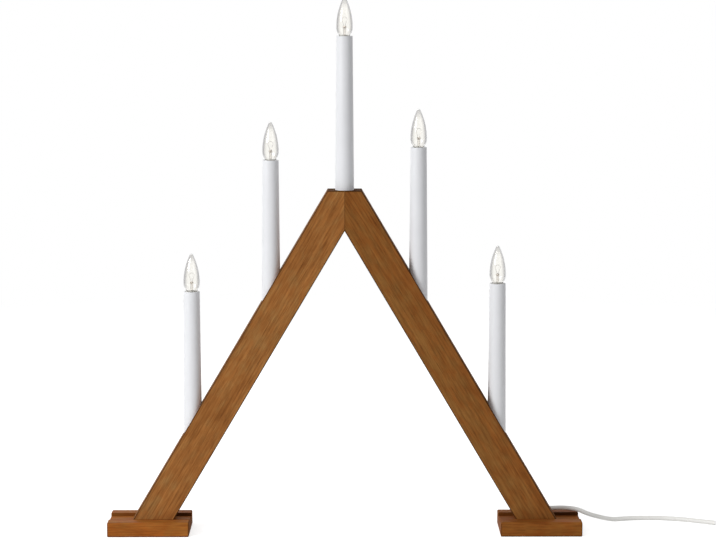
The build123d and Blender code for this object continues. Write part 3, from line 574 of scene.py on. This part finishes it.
class CANDLE_ARCH_OT_stage(bpy.types.Operator):
    """Camera, lights, floor and room"""

    bl_idname = "candle_arch.stage"
    bl_label = "Stage"

    def execute(self, context):
        stage = context.scene.candle_arch.stage
        camera = bpy.data.objects.new("camera", bpy.data.cameras.new("camera"))
        camera.location = CAMERA_PLACE
        camera.rotation_euler = Euler((math.radians(90 - CAMERA_PITCH), 0, math.radians(-CAMERA_YAW)))
        camera.data.lens = CAMERA_LENS
        camera.data.clip_end = 100
        context.scene.collection.objects.link(camera)
        context.scene.camera = camera
        context.scene.view_settings.view_transform = "Standard"
        for name, (place, size) in LIGHTS.items():
            self.light(context, name, place, size, getattr(stage, name + "_power"))
        self.floor(context, stage.floor_lift)
        self.room(context, stage.room_light)
        return {"FINISHED"}

    def light(self, context, name, place, size, power):
        lamp = bpy.data.lights.new(name, "AREA")
        lamp.shape = "DISK"
        lamp.size = size
        lamp.energy = power
        made = bpy.data.objects.new(name, lamp)
        made.location = place
        made.rotation_euler = (LIGHT_AIM - Vector(place)).to_track_quat("-Z", "Y").to_euler()
        context.scene.collection.objects.link(made)

    def floor(self, context, lift):
        bm = bmesh.new()
        bmesh.ops.create_grid(bm, x_segments=1, y_segments=1, size=FLOOR_HALF)
        mesh = bpy.data.meshes.new("floor")
        bm.to_mesh(mesh)
        bm.free()
        made = bpy.data.objects.new("floor", mesh)
        finish = new_finish("floor")
        seen = seen_rays(finish)
        x, y, _ = finish.axes(finish.place())
        far = (x * x + y * y).ramp(*[distance ** 2 for distance in FLOOR_FADE])
        pale = finish.value("ShaderNodeBsdfDiffuse", None, {"Color": FLOOR_COLOUR})
        lifted = finish.value("ShaderNodeEmission", None, {"Strength": seen * lift})
        close = finish.value("ShaderNodeAddShader", None, {0: pale, 1: lifted})
        white = finish.value("ShaderNodeEmission", None, {"Strength": seen})
        both = finish.value("ShaderNodeMixShader", None, {0: far, 1: close, 2: white})
        finish.node("ShaderNodeOutputMaterial", None, {"Surface": both})
        mesh.materials.append(finish.owner)
        context.scene.collection.objects.link(made)

    def room(self, context, strength):
        context.scene.world = bpy.data.worlds.new("room")
        finish = Finish(context.scene.world)
        light = finish.value("ShaderNodeBackground", None, {"Color": (1, 1, 1, 1), "Strength": strength})
        white = finish.value("ShaderNodeBackground", None, {"Color": (1, 1, 1, 1), "Strength": 1.0})
        both = finish.value("ShaderNodeMixShader", None, {0: seen_rays(finish), 1: light, 2: white})
        finish.node("ShaderNodeOutputWorld", None, {"Surface": both})


def seen_rays(finish):
    """1 for rays from the camera, from gloss and through glass."""
    paths = finish.node("ShaderNodeLightPath")
    camera, gloss, through = (
        Value(finish, paths.outputs[name])
        for name in ("Is Camera Ray", "Is Glossy Ray", "Is Transmission Ray"))
    return camera.either(gloss).either(through)


# Cord

# Route of the free cord from the clip, in millimetres: over the foot's end and down to the table
CORD_ROUTE = (
    (212.0, 17.5, 18.4),
    (224.0, 17.4, 18.9),
    (237.5, 16.6, 17.5),
    (247.5, 18.8, 12.3),
    (257.0, 23.2, 8.5),
    (266.5, 27.8, 5.2),
    (275.0, 32.0, 2.9),
    (284.0, 36.0, 2.5),
    (300.0, 39.6, 2.5),
    (324.0, 39.8, 2.5),
    (348.0, 33.0, 2.6),
    (371.0, 21.0, 2.6),
    (392.0, 9.0, 2.9),
    (410.4, 1.6, 3.5),
)
# Route of its end on the leg's back: through the clip and up into the wiring groove
FEED_ROUTE = (
    (202.71, 17.5, 18.2),
    (186.77, 17.5, 18.2),
    (174.05, 17.5, 26.2),
    (160.87, 11.6, 48.54),
    (155.81, 11.6, 57.11),
)
COIL_CENTRE = (431.0, 41.5)
COIL_INNER_RADIUS = 18.6
COIL_STEP = 3.05  # change of radius in half a turn
COIL_RISE = 6.1
COIL_LOW = 3.5
COIL_LOWER_HALVES = 7
COIL_UPPER_HALVES = 6
COIL_POINTS = 10  # in half a turn
PLUG_LEAD = 13.0 * MM
TIE_WALL = 0.9 * MM
TIE_CORNER = 3.2 * MM
BUCKLE_SIZE = (7 * MM, 8.6 * MM, 2.2 * MM)
BUCKLE_ROUND = 0.6 * MM


def coil_points():
    """Points of the coil: in along the lower layer, up one layer, out along the upper one."""
    halves = COIL_LOWER_HALVES + 1 + COIL_UPPER_HALVES
    swell = 1 / math.cos(math.pi / COIL_POINTS / 2)
    points = []
    for k in range(halves * COIL_POINTS + 1):
        t = k / COIL_POINTS
        inwards = max(COIL_LOWER_HALVES - t, 0)
        outwards = max(t - COIL_LOWER_HALVES - 1, 0)
        climb = min(max(t - COIL_LOWER_HALVES, 0), 1)
        radius = (COIL_INNER_RADIUS + (inwards + outwards) * COIL_STEP) * swell
        turn = math.pi * (t - 0.5)
        points.append((
            COIL_CENTRE[0] + radius * math.cos(turn),
            COIL_CENTRE[1] + radius * math.sin(turn),
            COIL_LOW + climb * COIL_RISE))
    return points


class CANDLE_ARCH_OT_cord(bpy.types.Operator):
    """Mains cord with its coil, tie and plug, and its end on the leg"""

    bl_idname = "candle_arch.cord"
    bl_label = "Cord and plug"

    def execute(self, context):
        cord = context.scene.candle_arch.cord
        white = tuple(cord.white)
        skin = sheath("cord_sheath", white)
        feed = [Vector(mm(*point)) for point in FEED_ROUTE]
        curve_piece("feed_cord", [feed], cord.diameter / 2, skin, ("feed_lead",))
        plug_low, plug_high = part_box("plug_body")
        plug_start = Vector((plug_low.x, (plug_low.y + plug_high.y) / 2, (plug_low.z + plug_high.z) / 2))
        route = [feed[0], *[Vector(mm(*point)) for point in (*CORD_ROUTE, *coil_points())]]
        lead = Vector((PLUG_LEAD, 0, 0))
        route += [route[-1] + lead, plug_start - lead, plug_start]
        made = curve_piece(
            "mains_cord", [route], cord.diameter / 2, skin, ("cord_run", "cord_coil", "cord_tail"))
        tie = self.tie(moulded("tie_plastic", tone(226, 226, 222), 0.5))
        dress(moulded("plug_plastic", white, 0.46, ripple=0.03 * MM), "plug_body")
        dress(moulded("sleeve_plastic", tone(58, 58, 60), 0.5), "plug_sleeves")
        dress(bright_metal("plug_pin_metal", tone(205, 203, 198), 0.24), "plug_pins")
        return {"FINISHED"}

    def tie(self, material):
        low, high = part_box("cord_tie")
        bm = bmesh.new()
        left, right = low.x + TIE_WALL / 2, high.x - TIE_WALL / 2
        bottom, top = low.z + TIE_WALL / 2, high.z - TIE_WALL / 2
        corners = [(left, bottom), (right, bottom), (right, top), (left, top)]
        verts = outline(bm, [Vector((x, low.y, z)) for x, z in corners], closed=True)
        round_corners(bm, verts, TIE_CORNER, 5)
        strap = bmesh.ops.extrude_edge_only(bm, edges=bm.edges[:])
        moved = [part for part in strap["geom"] if isinstance(part, bmesh.types.BMVert)]
        bmesh.ops.translate(bm, verts=moved, vec=(0, high.y - low.y, 0))
        bmesh.ops.recalc_face_normals(bm, faces=bm.faces[:])
        bmesh.ops.solidify(bm, geom=bm.faces[:], thickness=TIE_WALL * 0.6)
        buckle = bmesh.new()
        bmesh.ops.create_cube(buckle, size=1)
        bmesh.ops.scale(buckle, verts=buckle.verts[:], vec=BUCKLE_SIZE)
        middle = ((low.x + high.x) / 2, (low.y + high.y) / 2, high.z)
        bmesh.ops.translate(buckle, verts=buckle.verts[:], vec=middle)
        bmesh.ops.bevel(
            buckle, geom=buckle.edges[:], offset=BUCKLE_ROUND, offset_type="OFFSET", segments=3, profile=0.5,
            affect="EDGES", material=-1)
        join_into(bm, buckle)
        return piece(bm, "coil_tie", [material], ("cord_tie",))


# Wood

LEG_LEAN = math.radians(30.55)
LEG_WIDTH = 35.0 * MM
LEG_TINTS = {"left": (1.0, 1.13, 1.3), "right": (1.01, 1.01, 0.92)}
FOOT_TINT = (1.0, 0.85, 0.59)
LEG_SHADES = (0.42, 0.85)
FOOT_SHADES = (0.05, 0.22)


class CANDLE_ARCH_OT_wood(bpy.types.Operator):
    """Stained boards of the legs and feet, and the dowels of the mitre"""

    bl_idname = "candle_arch.wood"
    bl_label = "Wood"

    def execute(self, context):
        wood = context.scene.candle_arch.wood
        # Each side's strength is partly the boards' own tone and partly painted light from the left
        tones_and_light = {"left": wood.left_tone_and_light, "right": wood.right_tone_and_light}
        for side, sign in SIDES.items():
            strength = tones_and_light[side]
            seed = (0.37 + 0.2 * sign, 0.13 - 0.21 * sign, 0.29 * sign)
            self.leg(side, sign, tuple(strength * channel for channel in LEG_TINTS[side]), seed)
            self.foot(side, tuple(strength * channel for channel in FOOT_TINT), seed[::-1])
        dress(bare_wood("dowel_wood"), "mitre_dowels")
        return {"FINISHED"}

    def leg(self, side, sign, tint, seed):
        low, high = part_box(side + "_leg")
        turn = (0, sign * LEG_LEAN, 0)
        foot_corner = Vector((high.x if sign > 0 else low.x, 0, low.z))
        middle = (Euler(turn).to_matrix() @ foot_corner).x - sign * LEG_WIDTH / 2
        board = Board(
            turn, middle, LEG_WIDTH / 2, high.y, 2, (low.z + high.z) / 2, (high.z - low.z) / 2, tint, LEG_SHADES)
        dress(stained_wood(side + "_leg_wood", board, seed), side + "_leg")

    def foot(self, side, tint, seed):
        low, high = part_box(side + "_foot")
        turn = (0, math.radians(90), 0)
        # The groove carries painted shade in its corners and a painted shadow of the leg on its right
        board = Board(
            turn, (low.z + high.z) / 2, (high.z - low.z) / 2, high.y, 0, (low.x + high.x) / 2,
            (high.x - low.x) / 2, tint, FOOT_SHADES,
            groove=(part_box(side + "_leg")[1].y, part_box(side + "_leg")[0].z))
        dress(stained_wood(side + "_foot_wood", board, seed), side + "_foot")


# Candles

RIM_RADIUS = 8.05 * MM
SEAT_LENGTH = 20.0 * MM
LEDGE_DEPTH = 26.5 * MM  # from the rim down to the ledge under the lamp holder
LEDGE_WIDTH = 1.4 * MM
LEDGE_HEIGHT = 1.6 * MM


class CANDLE_ARCH_OT_candles(bpy.types.Operator):
    """White candle tubes"""

    bl_idname = "candle_arch.candles"
    bl_label = "Candle tubes"

    def execute(self, context):
        candle = context.scene.candle_arch.candle
        white = moulded("candle_plastic", tuple(candle.white), 0.4, shade=0.02, specular=0.25)
        bore = RIM_RADIUS - candle.wall
        for name in CANDLES:
            node = name + "_candle_tube"
            low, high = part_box(node)
            seat = (high.x - low.x) / 2
            length = high.z - low.z
            bm = turned_piece(
                axis_of(node),
                [(bore, 0), (RIM_RADIUS, 0), (seat, SEAT_LENGTH - length), (seat, -length),
                 (seat - candle.wall, -length), (seat - candle.wall, SEAT_LENGTH - length),
                 (bore, -LEDGE_DEPTH - LEDGE_HEIGHT), (bore - LEDGE_WIDTH, -LEDGE_DEPTH - LEDGE_HEIGHT),
                 (bore - LEDGE_WIDTH, -LEDGE_DEPTH), (bore, -LEDGE_DEPTH)],
                corners=(0, 1), radius=candle.rim_round, closed=True)
            piece(bm, name + "_tube", [white], (node,))
        return {"FINISHED"}


# Lamps

GLASS_RADIUS = 8.25 * MM
GLASS_HEIGHT = 37.9 * MM
GLASS_WIDEST = 8.65 * MM
GLASS_MOUTH_RADIUS = 5.1 * MM
GLASS_TIP_RADIUS = 1.8 * MM
GLASS_DRAWN = 27.0 * MM  # height above which the glass is drawn out thicker
NECK_RADIUS = 4.1 * MM
CAP_RADIUS = 4.75 * MM
CAP_WALL = 0.3 * MM
CAP_LIP_RADIUS = 2.9 * MM
THREAD_START = 0.6 * MM  # from the cap's lower end
# Section of the thread, as shares of its depth and pitch
THREAD_RIDGE = ((-0.2, 0.05), (0.55, 0.25), (1.0, 0.5), (0.55, 0.75), (-0.2, 0.95))
THREAD_TURNS, THREAD_STEPS = 3, 32
BASE_RADIUS, BASE_FOOT_RADIUS = 4.3 * MM, 2.1 * MM
BASE_ROUND = 0.4 * MM
TIP_HEIGHT = 0.9 * MM
COLLAR_BORE, COLLAR_RADIUS = 4.95 * MM, 5.75 * MM  # cement collar round the glass
COLLAR_LOW, COLLAR_HIGH = -0.42 * MM, -0.12 * MM
FLARE_RADIUS = 3.35 * MM
SEAL_RADIUS = 4.2 * MM
SEAL_LOW, SEAL_HIGH = 0.1 * MM, 0.6 * MM
FLARE_EDGE, FLARE_HEIGHT = 0.6 * MM, 2.6 * MM
STEM_ROUND = 0.35 * MM
STEM_RADIUS = 1.15 * MM
BEAD_RADIUS = 1.8 * MM
BEAD_LOW, BEAD_HIGH = 7.6 * MM, 10.0 * MM
BEAD_EASE = 0.6 * MM
ARM_FOOT, ARM_REACH = 0.8 * MM, 2.75 * MM
ARM_RISE = 6.9 * MM  # from the bead to the filament
ARM_COURSE = (  # distances out and heights above the rim
    (ARM_FOOT, BEAD_LOW - 6 * MM), (ARM_FOOT, BEAD_HIGH - 1 * MM), (ARM_FOOT, BEAD_HIGH + 1.4 * MM),
    (ARM_REACH * 0.8, BEAD_HIGH + 4.4 * MM), (ARM_REACH, BEAD_HIGH + 6.4 * MM),
    (ARM_REACH * 0.95, BEAD_HIGH + ARM_RISE))
FILAMENT_ARCH = 1.7 * MM
FILAMENT_TURNS = 15
FILAMENT_POINTS = 8  # in one turn
FILAMENT_SHARE = 0.4  # of the support wires' radius
TIP_RADIUS = 1.75 * MM


def mark_height(bm, rim):
    """Keep each vertex's height above the rim for the glass to read."""
    height = bm.verts.layers.float.new(HEIGHT)
    for vert in bm.verts:
        vert[height] = vert.co.z - rim.z


class CANDLE_ARCH_OT_lamps(bpy.types.Operator):
    """Flame-shaped lamps: glass, stem, wires, filament, screw cap and base"""

    bl_idname = "candle_arch.lamps"
    bl_label = "Lamps"

    def execute(self, context):
        lamp = context.scene.candle_arch.lamp
        # Both glasses get grey painted shade where they are seen edge on
        glass = clear_glass(
            "lamp_clear_glass", tone(252, 251, 248), tuple(lamp.glass_edge_shade), thick=(GLASS_DRAWN, GLASS_HEIGHT))
        stem = clear_glass("stem_glass", tone(236, 232, 228), tone(204, 199, 194), 0.14)
        bead = moulded("bead_glass", tone(198, 189, 181), 0.3)
        seal = moulded("seal_glass", tone(246, 245, 241), 0.35, shade=0.02)
        wire = bright_metal("support_wire", tone(176, 171, 166), 0.4)
        brass = bright_metal("lamp_brass", tuple(lamp.brass), 0.28)
        black = moulded("base_glass", tone(38, 36, 40), 0.22)
        solder = bright_metal("solder_tip", tone(180, 180, 182), 0.42)
        for name in CANDLES:
            rim = axis_of(name + "_candle_tube")
            self.glass(lamp, name, rim, glass)
            self.stem(name, rim, [stem, bead, seal])
            self.wires(lamp, name, rim, wire)
            self.cap(lamp, name, rim, [brass, seal])
            self.base(name, rim, [black, solder])
        return {"FINISHED"}

    def glass(self, lamp, name, rim, material):
        """Blown flame: a neck, a bowl, a long side and a round tip, each tangent to the next."""
        node = name + "_lamp_glass"
        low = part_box(node)[0].z - rim.z
        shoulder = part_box(name + "_lamp_cap")[1].z - rim.z
        bm = bmesh.new()
        neck = [(NECK_RADIUS, low), (NECK_RADIUS, shoulder), (CAP_RADIUS, shoulder), (GLASS_MOUTH_RADIUS, 0)]
        vert = outline(bm, [rim + Vector((r, 0, z)) for r, z in neck])[-1]
        narrowing = GLASS_RADIUS - GLASS_MOUTH_RADIUS
        bowl_radius = (narrowing ** 2 + GLASS_WIDEST ** 2) / narrowing / 2
        rise = GLASS_HEIGHT - GLASS_TIP_RADIUS - GLASS_WIDEST
        taper = GLASS_RADIUS - GLASS_TIP_RADIUS
        side_radius = (GLASS_RADIUS ** 2 + rise ** 2 - GLASS_TIP_RADIUS ** 2) / taper / 2
        side_turn = math.atan2(rise, side_radius - GLASS_RADIUS)
        bowl_middle = rim + Vector((GLASS_RADIUS - bowl_radius, 0, GLASS_WIDEST))
        side_middle = rim + Vector((GLASS_RADIUS - side_radius, 0, GLASS_WIDEST))
        tip_middle = rim + Vector((0, 0, GLASS_HEIGHT - GLASS_TIP_RADIUS))
        vert = swing(bm, vert, bowl_middle, math.asin(GLASS_WIDEST / bowl_radius), 10)
        vert = swing(bm, vert, side_middle, side_turn, 18)
        swing(bm, vert, tip_middle, math.pi / 2 - side_turn, 7)
        spin_round(bm, rim, 56)
        mark_height(bm, rim)
        made = piece(bm, name + "_flame", [material], (node,), name + "_lamp", crease=60)
        wall = made.modifiers.new("wall", "SOLIDIFY")
        wall.thickness = lamp.glass_wall
        wall.offset = -1

    def stem(self, name, rim, materials):
        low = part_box(name + "_lamp_mount")[0].z - rim.z
        bm = turned_piece(
            rim,
            [(0, low), (FLARE_RADIUS, low), (FLARE_RADIUS, low + FLARE_EDGE), (STEM_RADIUS, low + FLARE_HEIGHT),
             (STEM_RADIUS, BEAD_LOW), (BEAD_RADIUS, BEAD_LOW + BEAD_EASE), (BEAD_RADIUS, BEAD_HIGH - BEAD_EASE),
             (STEM_RADIUS * 0.8, BEAD_HIGH), (0, BEAD_HIGH)],
            corners=(3, 4, 5, 6, 7), radius=STEM_ROUND, steps=32)
        for face in bm.faces:
            if face.calc_center_median().z > rim.z + BEAD_LOW:
                face.material_index = 1
        seal = turned_piece(
            rim,
            [(0, SEAL_LOW), (SEAL_RADIUS, SEAL_LOW), (SEAL_RADIUS, SEAL_HIGH), (STEM_RADIUS * 1.3, 2 * SEAL_HIGH),
             (0, 2 * SEAL_HIGH)],
            corners=(2, 3), radius=0.2 * MM, steps=40)
        join_into(bm, seal, 2)
        mark_height(bm, rim)
        piece(bm, name + "_stem", materials, (), name + "_lamp", crease=50)

    def wires(self, lamp, name, rim, wire):
        node = name + "_lamp_mount"
        arms = [[rim + Vector((sign * out, 0, up)) for out, up in ARM_COURSE] for sign in (-1, 1)]
        filament = []
        for k in range(FILAMENT_TURNS * FILAMENT_POINTS + 1):
            share = k / (FILAMENT_TURNS * FILAMENT_POINTS)
            angle = 2 * math.pi * k / FILAMENT_POINTS
            filament.append((
                rim.x + (2 * share - 1) * ARM_REACH * 0.95,
                rim.y + lamp.coil_radius * math.cos(angle),
                rim.z + BEAD_HIGH + ARM_RISE + math.sin(math.pi * share) * FILAMENT_ARCH
                + lamp.coil_radius * math.sin(angle),
                FILAMENT_SHARE))
        curve_piece(
            name + "_wires", [*arms, filament], lamp.wire_radius, wire, (node,), name + "_lamp",
            resolution=4)

    def cap(self, lamp, name, rim, materials):
        node = name + "_lamp_cap"
        low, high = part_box(node)
        top, bottom = high.z - rim.z, low.z - rim.z
        root = CAP_RADIUS - lamp.thread_depth
        bore = root - CAP_WALL
        bm = turned_piece(
            rim,
            [(bore, top), (CAP_RADIUS, top), (CAP_RADIUS, top - 0.5 * MM), (root, top - 1.0 * MM),
             (root, bottom + 0.4 * MM), (root - 0.5 * MM, bottom), (CAP_LIP_RADIUS, bottom),
             (CAP_LIP_RADIUS, bottom + CAP_WALL), (bore, bottom + CAP_WALL + 0.4 * MM)],
            corners=(1, 2, 4, 5), radius=0.15 * MM, steps=40, closed=True)
        thread = bmesh.new()
        start = bottom + THREAD_START
        outline(
            thread,
            [rim + Vector((root + lamp.thread_depth * out, 0, start + lamp.thread_pitch * up))
             for out, up in THREAD_RIDGE],
            closed=True)
        bmesh.ops.spin(
            thread, geom=thread.verts[:] + thread.edges[:], cent=rim, axis=(0, 0, 1),
            angle=2 * math.pi * THREAD_TURNS, steps=THREAD_TURNS * THREAD_STEPS,
            dvec=(0, 0, lamp.thread_pitch / THREAD_STEPS), use_merge=False)
        fill_open_ends(thread)
        join_into(bm, thread)
        collar = turned_piece(
            rim,
            [(COLLAR_BORE, COLLAR_LOW), (COLLAR_RADIUS, COLLAR_LOW), (COLLAR_RADIUS, COLLAR_LOW + 0.2 * MM),
             (COLLAR_BORE, COLLAR_HIGH)],
            steps=40, closed=True)
        join_into(bm, collar, 1)
        piece(bm, name + "_cap", materials, (node,), name + "_lamp", crease=60)

    def base(self, name, rim, materials):
        node = name + "_lamp_base"
        low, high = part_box(node)
        top, bottom = high.z - rim.z, low.z - rim.z
        tip = bottom + TIP_HEIGHT
        bm = turned_piece(
            rim, [(0, top), (BASE_RADIUS, top), (BASE_FOOT_RADIUS, tip), (0, tip)],
            corners=(1, 2), radius=BASE_ROUND, steps=40)
        dome = turned_piece(
            rim,
            [(0, tip + 0.1 * MM), (TIP_RADIUS, tip + 0.1 * MM), (TIP_RADIUS, tip - 0.2 * MM),
             (TIP_RADIUS * 0.7, bottom + 0.1 * MM), (0, bottom)],
            corners=(2, 3), radius=BASE_ROUND, steps=32)
        join_into(bm, dome, 1)
        piece(bm, name + "_button", materials, (node,), name + "_lamp_rise")


# Wiring

GROOVE_APEX = 321.1 * MM  # height at which the two wiring grooves would meet
GROOVE_REACHES = {"top": 0.0, "upper": 73.6 * MM, "lower": 153.1 * MM}
LEAD_CORE_RADIUS = 1.3 * MM
LEAD_CORE_OFFSET = 1.2 * MM
LEAD_Y = 10.6 * MM
# Heights along a flat lead and how far it stands off the groove's floor there
LEAD_COURSE = (
    (61.7, 0.0), (74.0, 0.1), (114.3, 0.0), (135.0, 0.6), (155.9, 0.0), (196.0, 0.3), (240.0, 0.7), (284.0, 0.0),
    (300.0, 0.3), (315.0, 0.0))
CANDLE_LEAD_RADIUS = 0.7 * MM
CANDLE_LEAD_OFFSET = 1.2 * MM
CANDLE_LEAD_BEND = 4 * MM
APEX_LEAD_DROP = 1.5 * MM
APEX_LEAD_HEIGHTS = mm(317.0, 313.0)
CANDLE_LEAD_DROP = 18.4 * MM  # from a tube's rim to its leads' ends on the holder
FEED_CORE_RADIUS = 0.95 * MM
FEED_CORE_OFFSET = 1.05 * MM
FEED_CORE_COURSE = ((53.0, 11.6), (57.5, 11.6), (60.0, 11.0), (64.0, 10.6))  # heights and places back
STAPLE_HEIGHTS = {"left": (114.3, 155.9, 284.0), "right": (53.7, 114.3, 155.9, 284.0)}
STAPLE_RADIUS = 0.5 * MM
STAPLE_HALF = 4.3 * MM
STAPLE_COURSE = (  # shares of the half span across, and millimetres out of the wood
    (-1, -6.0), (-1, -2.0), (-1, 0.35), (-0.86, 0.5), (0, 0.5), (0.86, 0.5), (1, 0.35), (1, -2.0), (1, -6.0))
FOOT_SCREW = {"head": 4.0, "foot": 2.0, "height": 2.4, "shank": 2.0, "length": 37.6, "dome": 0.0}
CLIP_SCREW = {"head": 3.0, "foot": 3.0, "height": 1.3, "shank": 1.5, "length": 14.7, "dome": 0.7}
RECESS_HALF, RECESS_REACH = 0.1, 0.5  # of a cross recess, as shares of the head's radius
RECESS_TAPER, RECESS_DEPTH = 0.05, 0.3


def groove_point(sign, z, y, across=0.0):
    """Point in a leg's wiring groove at a height, across towards the outside of the arch."""
    x = (GROOVE_APEX - z) * math.tan(LEG_LEAN) + across * math.cos(LEG_LEAN)
    return Vector((sign * x, y, z + across * math.sin(LEG_LEAN)))


def cross_screw(place, facing, sizes):
    """Screw with a cross recess in its head, the head's rim at a place and facing outwards."""
    head, foot, height, shank, length, dome = (sizes[key] * MM for key in sizes)
    bm = bmesh.new()
    bmesh.ops.create_grid(bm, x_segments=5, y_segments=5, size=head)
    for vert in bm.verts:
        if max(abs(vert.co.x), abs(vert.co.y)) > 0.99 * head:
            vert.co *= head / vert.co.length
    for vert in bm.verts:
        vert.co.z = dome * (1 - vert.co.length_squared / head ** 2)
    cross = []
    for face in bm.faces:
        shares = sorted(abs(share) / head for share in face.calc_center_median()[:2])
        if shares[0] < RECESS_HALF and shares[1] < RECESS_REACH:
            cross.append(face)
    bmesh.ops.inset_region(
        bm, faces=cross, thickness=RECESS_TAPER * head, depth=-RECESS_DEPTH * head, use_boundary=True,
        use_even_offset=True)
    for radius, drop in ((foot / head, height), (shank / foot, 0.01 * MM), (1.0, length)):
        rim = [edge for edge in bm.edges if edge.is_boundary]
        made = bmesh.ops.extrude_edge_only(bm, edges=rim)
        verts = [part for part in made["geom"] if isinstance(part, bmesh.types.BMVert)]
        bmesh.ops.scale(bm, verts=verts, vec=(radius, radius, 1))
        bmesh.ops.translate(bm, verts=verts, vec=(0, 0, -drop))
    fill_open_ends(bm)
    turn = Vector((0, 0, 1)).rotation_difference(Vector(facing)).to_matrix().to_4x4()
    bmesh.ops.transform(bm, matrix=turn, verts=bm.verts[:])
    bmesh.ops.translate(bm, verts=bm.verts[:], vec=place)
    return bm


class CANDLE_ARCH_OT_wiring(bpy.types.Operator):
    """Lamp holders, leads and staples"""

    bl_idname = "candle_arch.wiring"
    bl_label = "Wiring"

    def execute(self, context):
        white = tuple(context.scene.candle_arch.cord.white)
        brass = bright_metal("socket_brass", tuple(context.scene.candle_arch.lamp.brass), 0.32)
        dress(moulded("holder_plastic", tone(222, 219, 210), 0.42), *[name + "_lamp_holder" for name in CANDLES])
        dress(brass, "centre_contacts", *[name + "_socket_shell" for name in CANDLES])
        skin = sheath("lead_sheath", white)
        for side, sign in SIDES.items():
            runs = []
            for across in (-LEAD_CORE_OFFSET, LEAD_CORE_OFFSET):
                runs.append([groove_point(sign, z * MM, LEAD_Y + out * MM, across) for z, out in LEAD_COURSE])
            curve_piece(side + "_lead", runs, LEAD_CORE_RADIUS, skin, (side + "_flat_lead",))
        self.candle_leads(skin)
        self.feed_cores()
        self.staples()
        return {"FINISHED"}

    def candle_leads(self, skin):
        """Two leads in each tube, down from its holder and out through the wood to the groove."""
        runs = []
        for name in CANDLES:
            rim = axis_of(name + "_candle_tube")
            reach = GROOVE_REACHES[name.split("_")[0]]
            height = GROOVE_APEX - reach / math.tan(LEG_LEAN)
            top = rim.z - CANDLE_LEAD_DROP
            for sign in (-1, 1):
                x = rim.x + sign * CANDLE_LEAD_OFFSET
                run = [(x, 0, top), (x, 0, (top + height) / 2), (x, 0, height + CANDLE_LEAD_BEND), (x, 0, height),
                       (x, CANDLE_LEAD_BEND, height)]
                if reach:
                    run.append((x, LEAD_Y - 0.5 * MM, height))
                else:
                    run += [(x, 2 * CANDLE_LEAD_BEND, height), (x, LEAD_Y, height - APEX_LEAD_DROP)]
                    run += [groove_point(sign, z, LEAD_Y) for z in APEX_LEAD_HEIGHTS]
                runs.append(run)
        curve_piece("candle_wires", runs, CANDLE_LEAD_RADIUS, skin, ("candle_leads",))

    def feed_cores(self):
        """The two cores that come out of the cord's end and join the flat lead."""
        for name, sign, colour in (("brown_core", -1, tone(104, 66, 42)), ("blue_core", 1, tone(60, 92, 140))):
            across = sign * FEED_CORE_OFFSET
            run = [groove_point(1, z * MM, y * MM, across) for z, y in FEED_CORE_COURSE]
            curve_piece(name, [run], FEED_CORE_RADIUS, sheath(name + "_skin", colour), ())

    def staples(self):
        steel = bright_metal("staple_steel", tone(178, 180, 184), 0.34)
        runs = []
        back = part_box("left_leg")[1].y
        for side, sign in SIDES.items():
            for z in STAPLE_HEIGHTS[side]:
                runs.append([
                    groove_point(sign, z * MM, back + out * MM, share * STAPLE_HALF)
                    for share, out in STAPLE_COURSE])
        curve_piece("wire_staples", runs, STAPLE_RADIUS, steel, ("lead_staples",))


class CANDLE_ARCH_OT_fastenings(bpy.types.Operator):
    """Cord clip, its screw and the screws under the feet"""

    bl_idname = "candle_arch.fastenings"
    bl_label = "Clip and screws"

    def execute(self, context):
        steel = bright_metal("zinc_steel", tone(186, 186, 184), 0.32)
        dress(moulded("clip_plastic", tone(234, 234, 230), 0.45), "cord_clip")
        low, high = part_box("clip_screw")
        head = high.y - CLIP_SCREW["dome"] * MM
        place = Vector(((low.x + high.x) / 2, head, (low.z + high.z) / 2))
        piece(cross_screw(place, (0, 1, 0), CLIP_SCREW), "clip_fixing", [steel], ("clip_screw",))
        low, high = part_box("foot_screws")
        reach = FOOT_SCREW["head"] * MM
        screws = bmesh.new()
        for x in (low.x + reach, high.x - reach):
            for y in (low.y + reach, high.y - reach):
                join_into(screws, cross_screw(Vector((x, y, low.z)), (0, 0, -1), FOOT_SCREW))
        piece(screws, "foot_fixings", [steel], ("foot_screws",))
        return {"FINISHED"}


class CANDLE_ARCH_PT_panel(bpy.types.Panel):
    """Lists the pieces of the arch and their settings"""

    bl_idname = "CANDLE_ARCH_PT_panel"
    bl_label = "Candle arch"
    bl_space_type = "VIEW_3D"
    bl_region_type = "UI"
    bl_category = "Candle arch"

    def draw(self, context):
        settings = context.scene.candle_arch
        for group in ("stage", "cord", "wood", "candle", "lamp"):
            box = self.layout.box()
            box.label(text=group.capitalize())
            for name in getattr(settings, group).__annotations__:
                box.prop(getattr(settings, group), name)
        for operator in OPERATORS:
            self.layout.operator(operator.bl_idname)


OPERATORS = (
    CANDLE_ARCH_OT_stage,
    CANDLE_ARCH_OT_cord,
    CANDLE_ARCH_OT_wood,
    CANDLE_ARCH_OT_candles,
    CANDLE_ARCH_OT_lamps,
    CANDLE_ARCH_OT_wiring,
    CANDLE_ARCH_OT_fastenings,
)
CLASSES = (
    WoodSettings,
    CandleSettings,
    LampSettings,
    CordSettings,
    StageSettings,
    CandleArchSettings,
    *OPERATORS,
    CANDLE_ARCH_PT_panel,
)


def register():
    for each in CLASSES:
        bpy.utils.register_class(each)
    bpy.types.Scene.candle_arch = bpy.props.PointerProperty(type=CandleArchSettings)


def unregister():
    del bpy.types.Scene.candle_arch
    for each in reversed(CLASSES):
        bpy.utils.unregister_class(each)


def main():
    register()
    for operator in OPERATORS:
        group, name = operator.bl_idname.split(".")
        getattr(getattr(bpy.ops, group), name)()


if __name__ == "__main__":
    main()
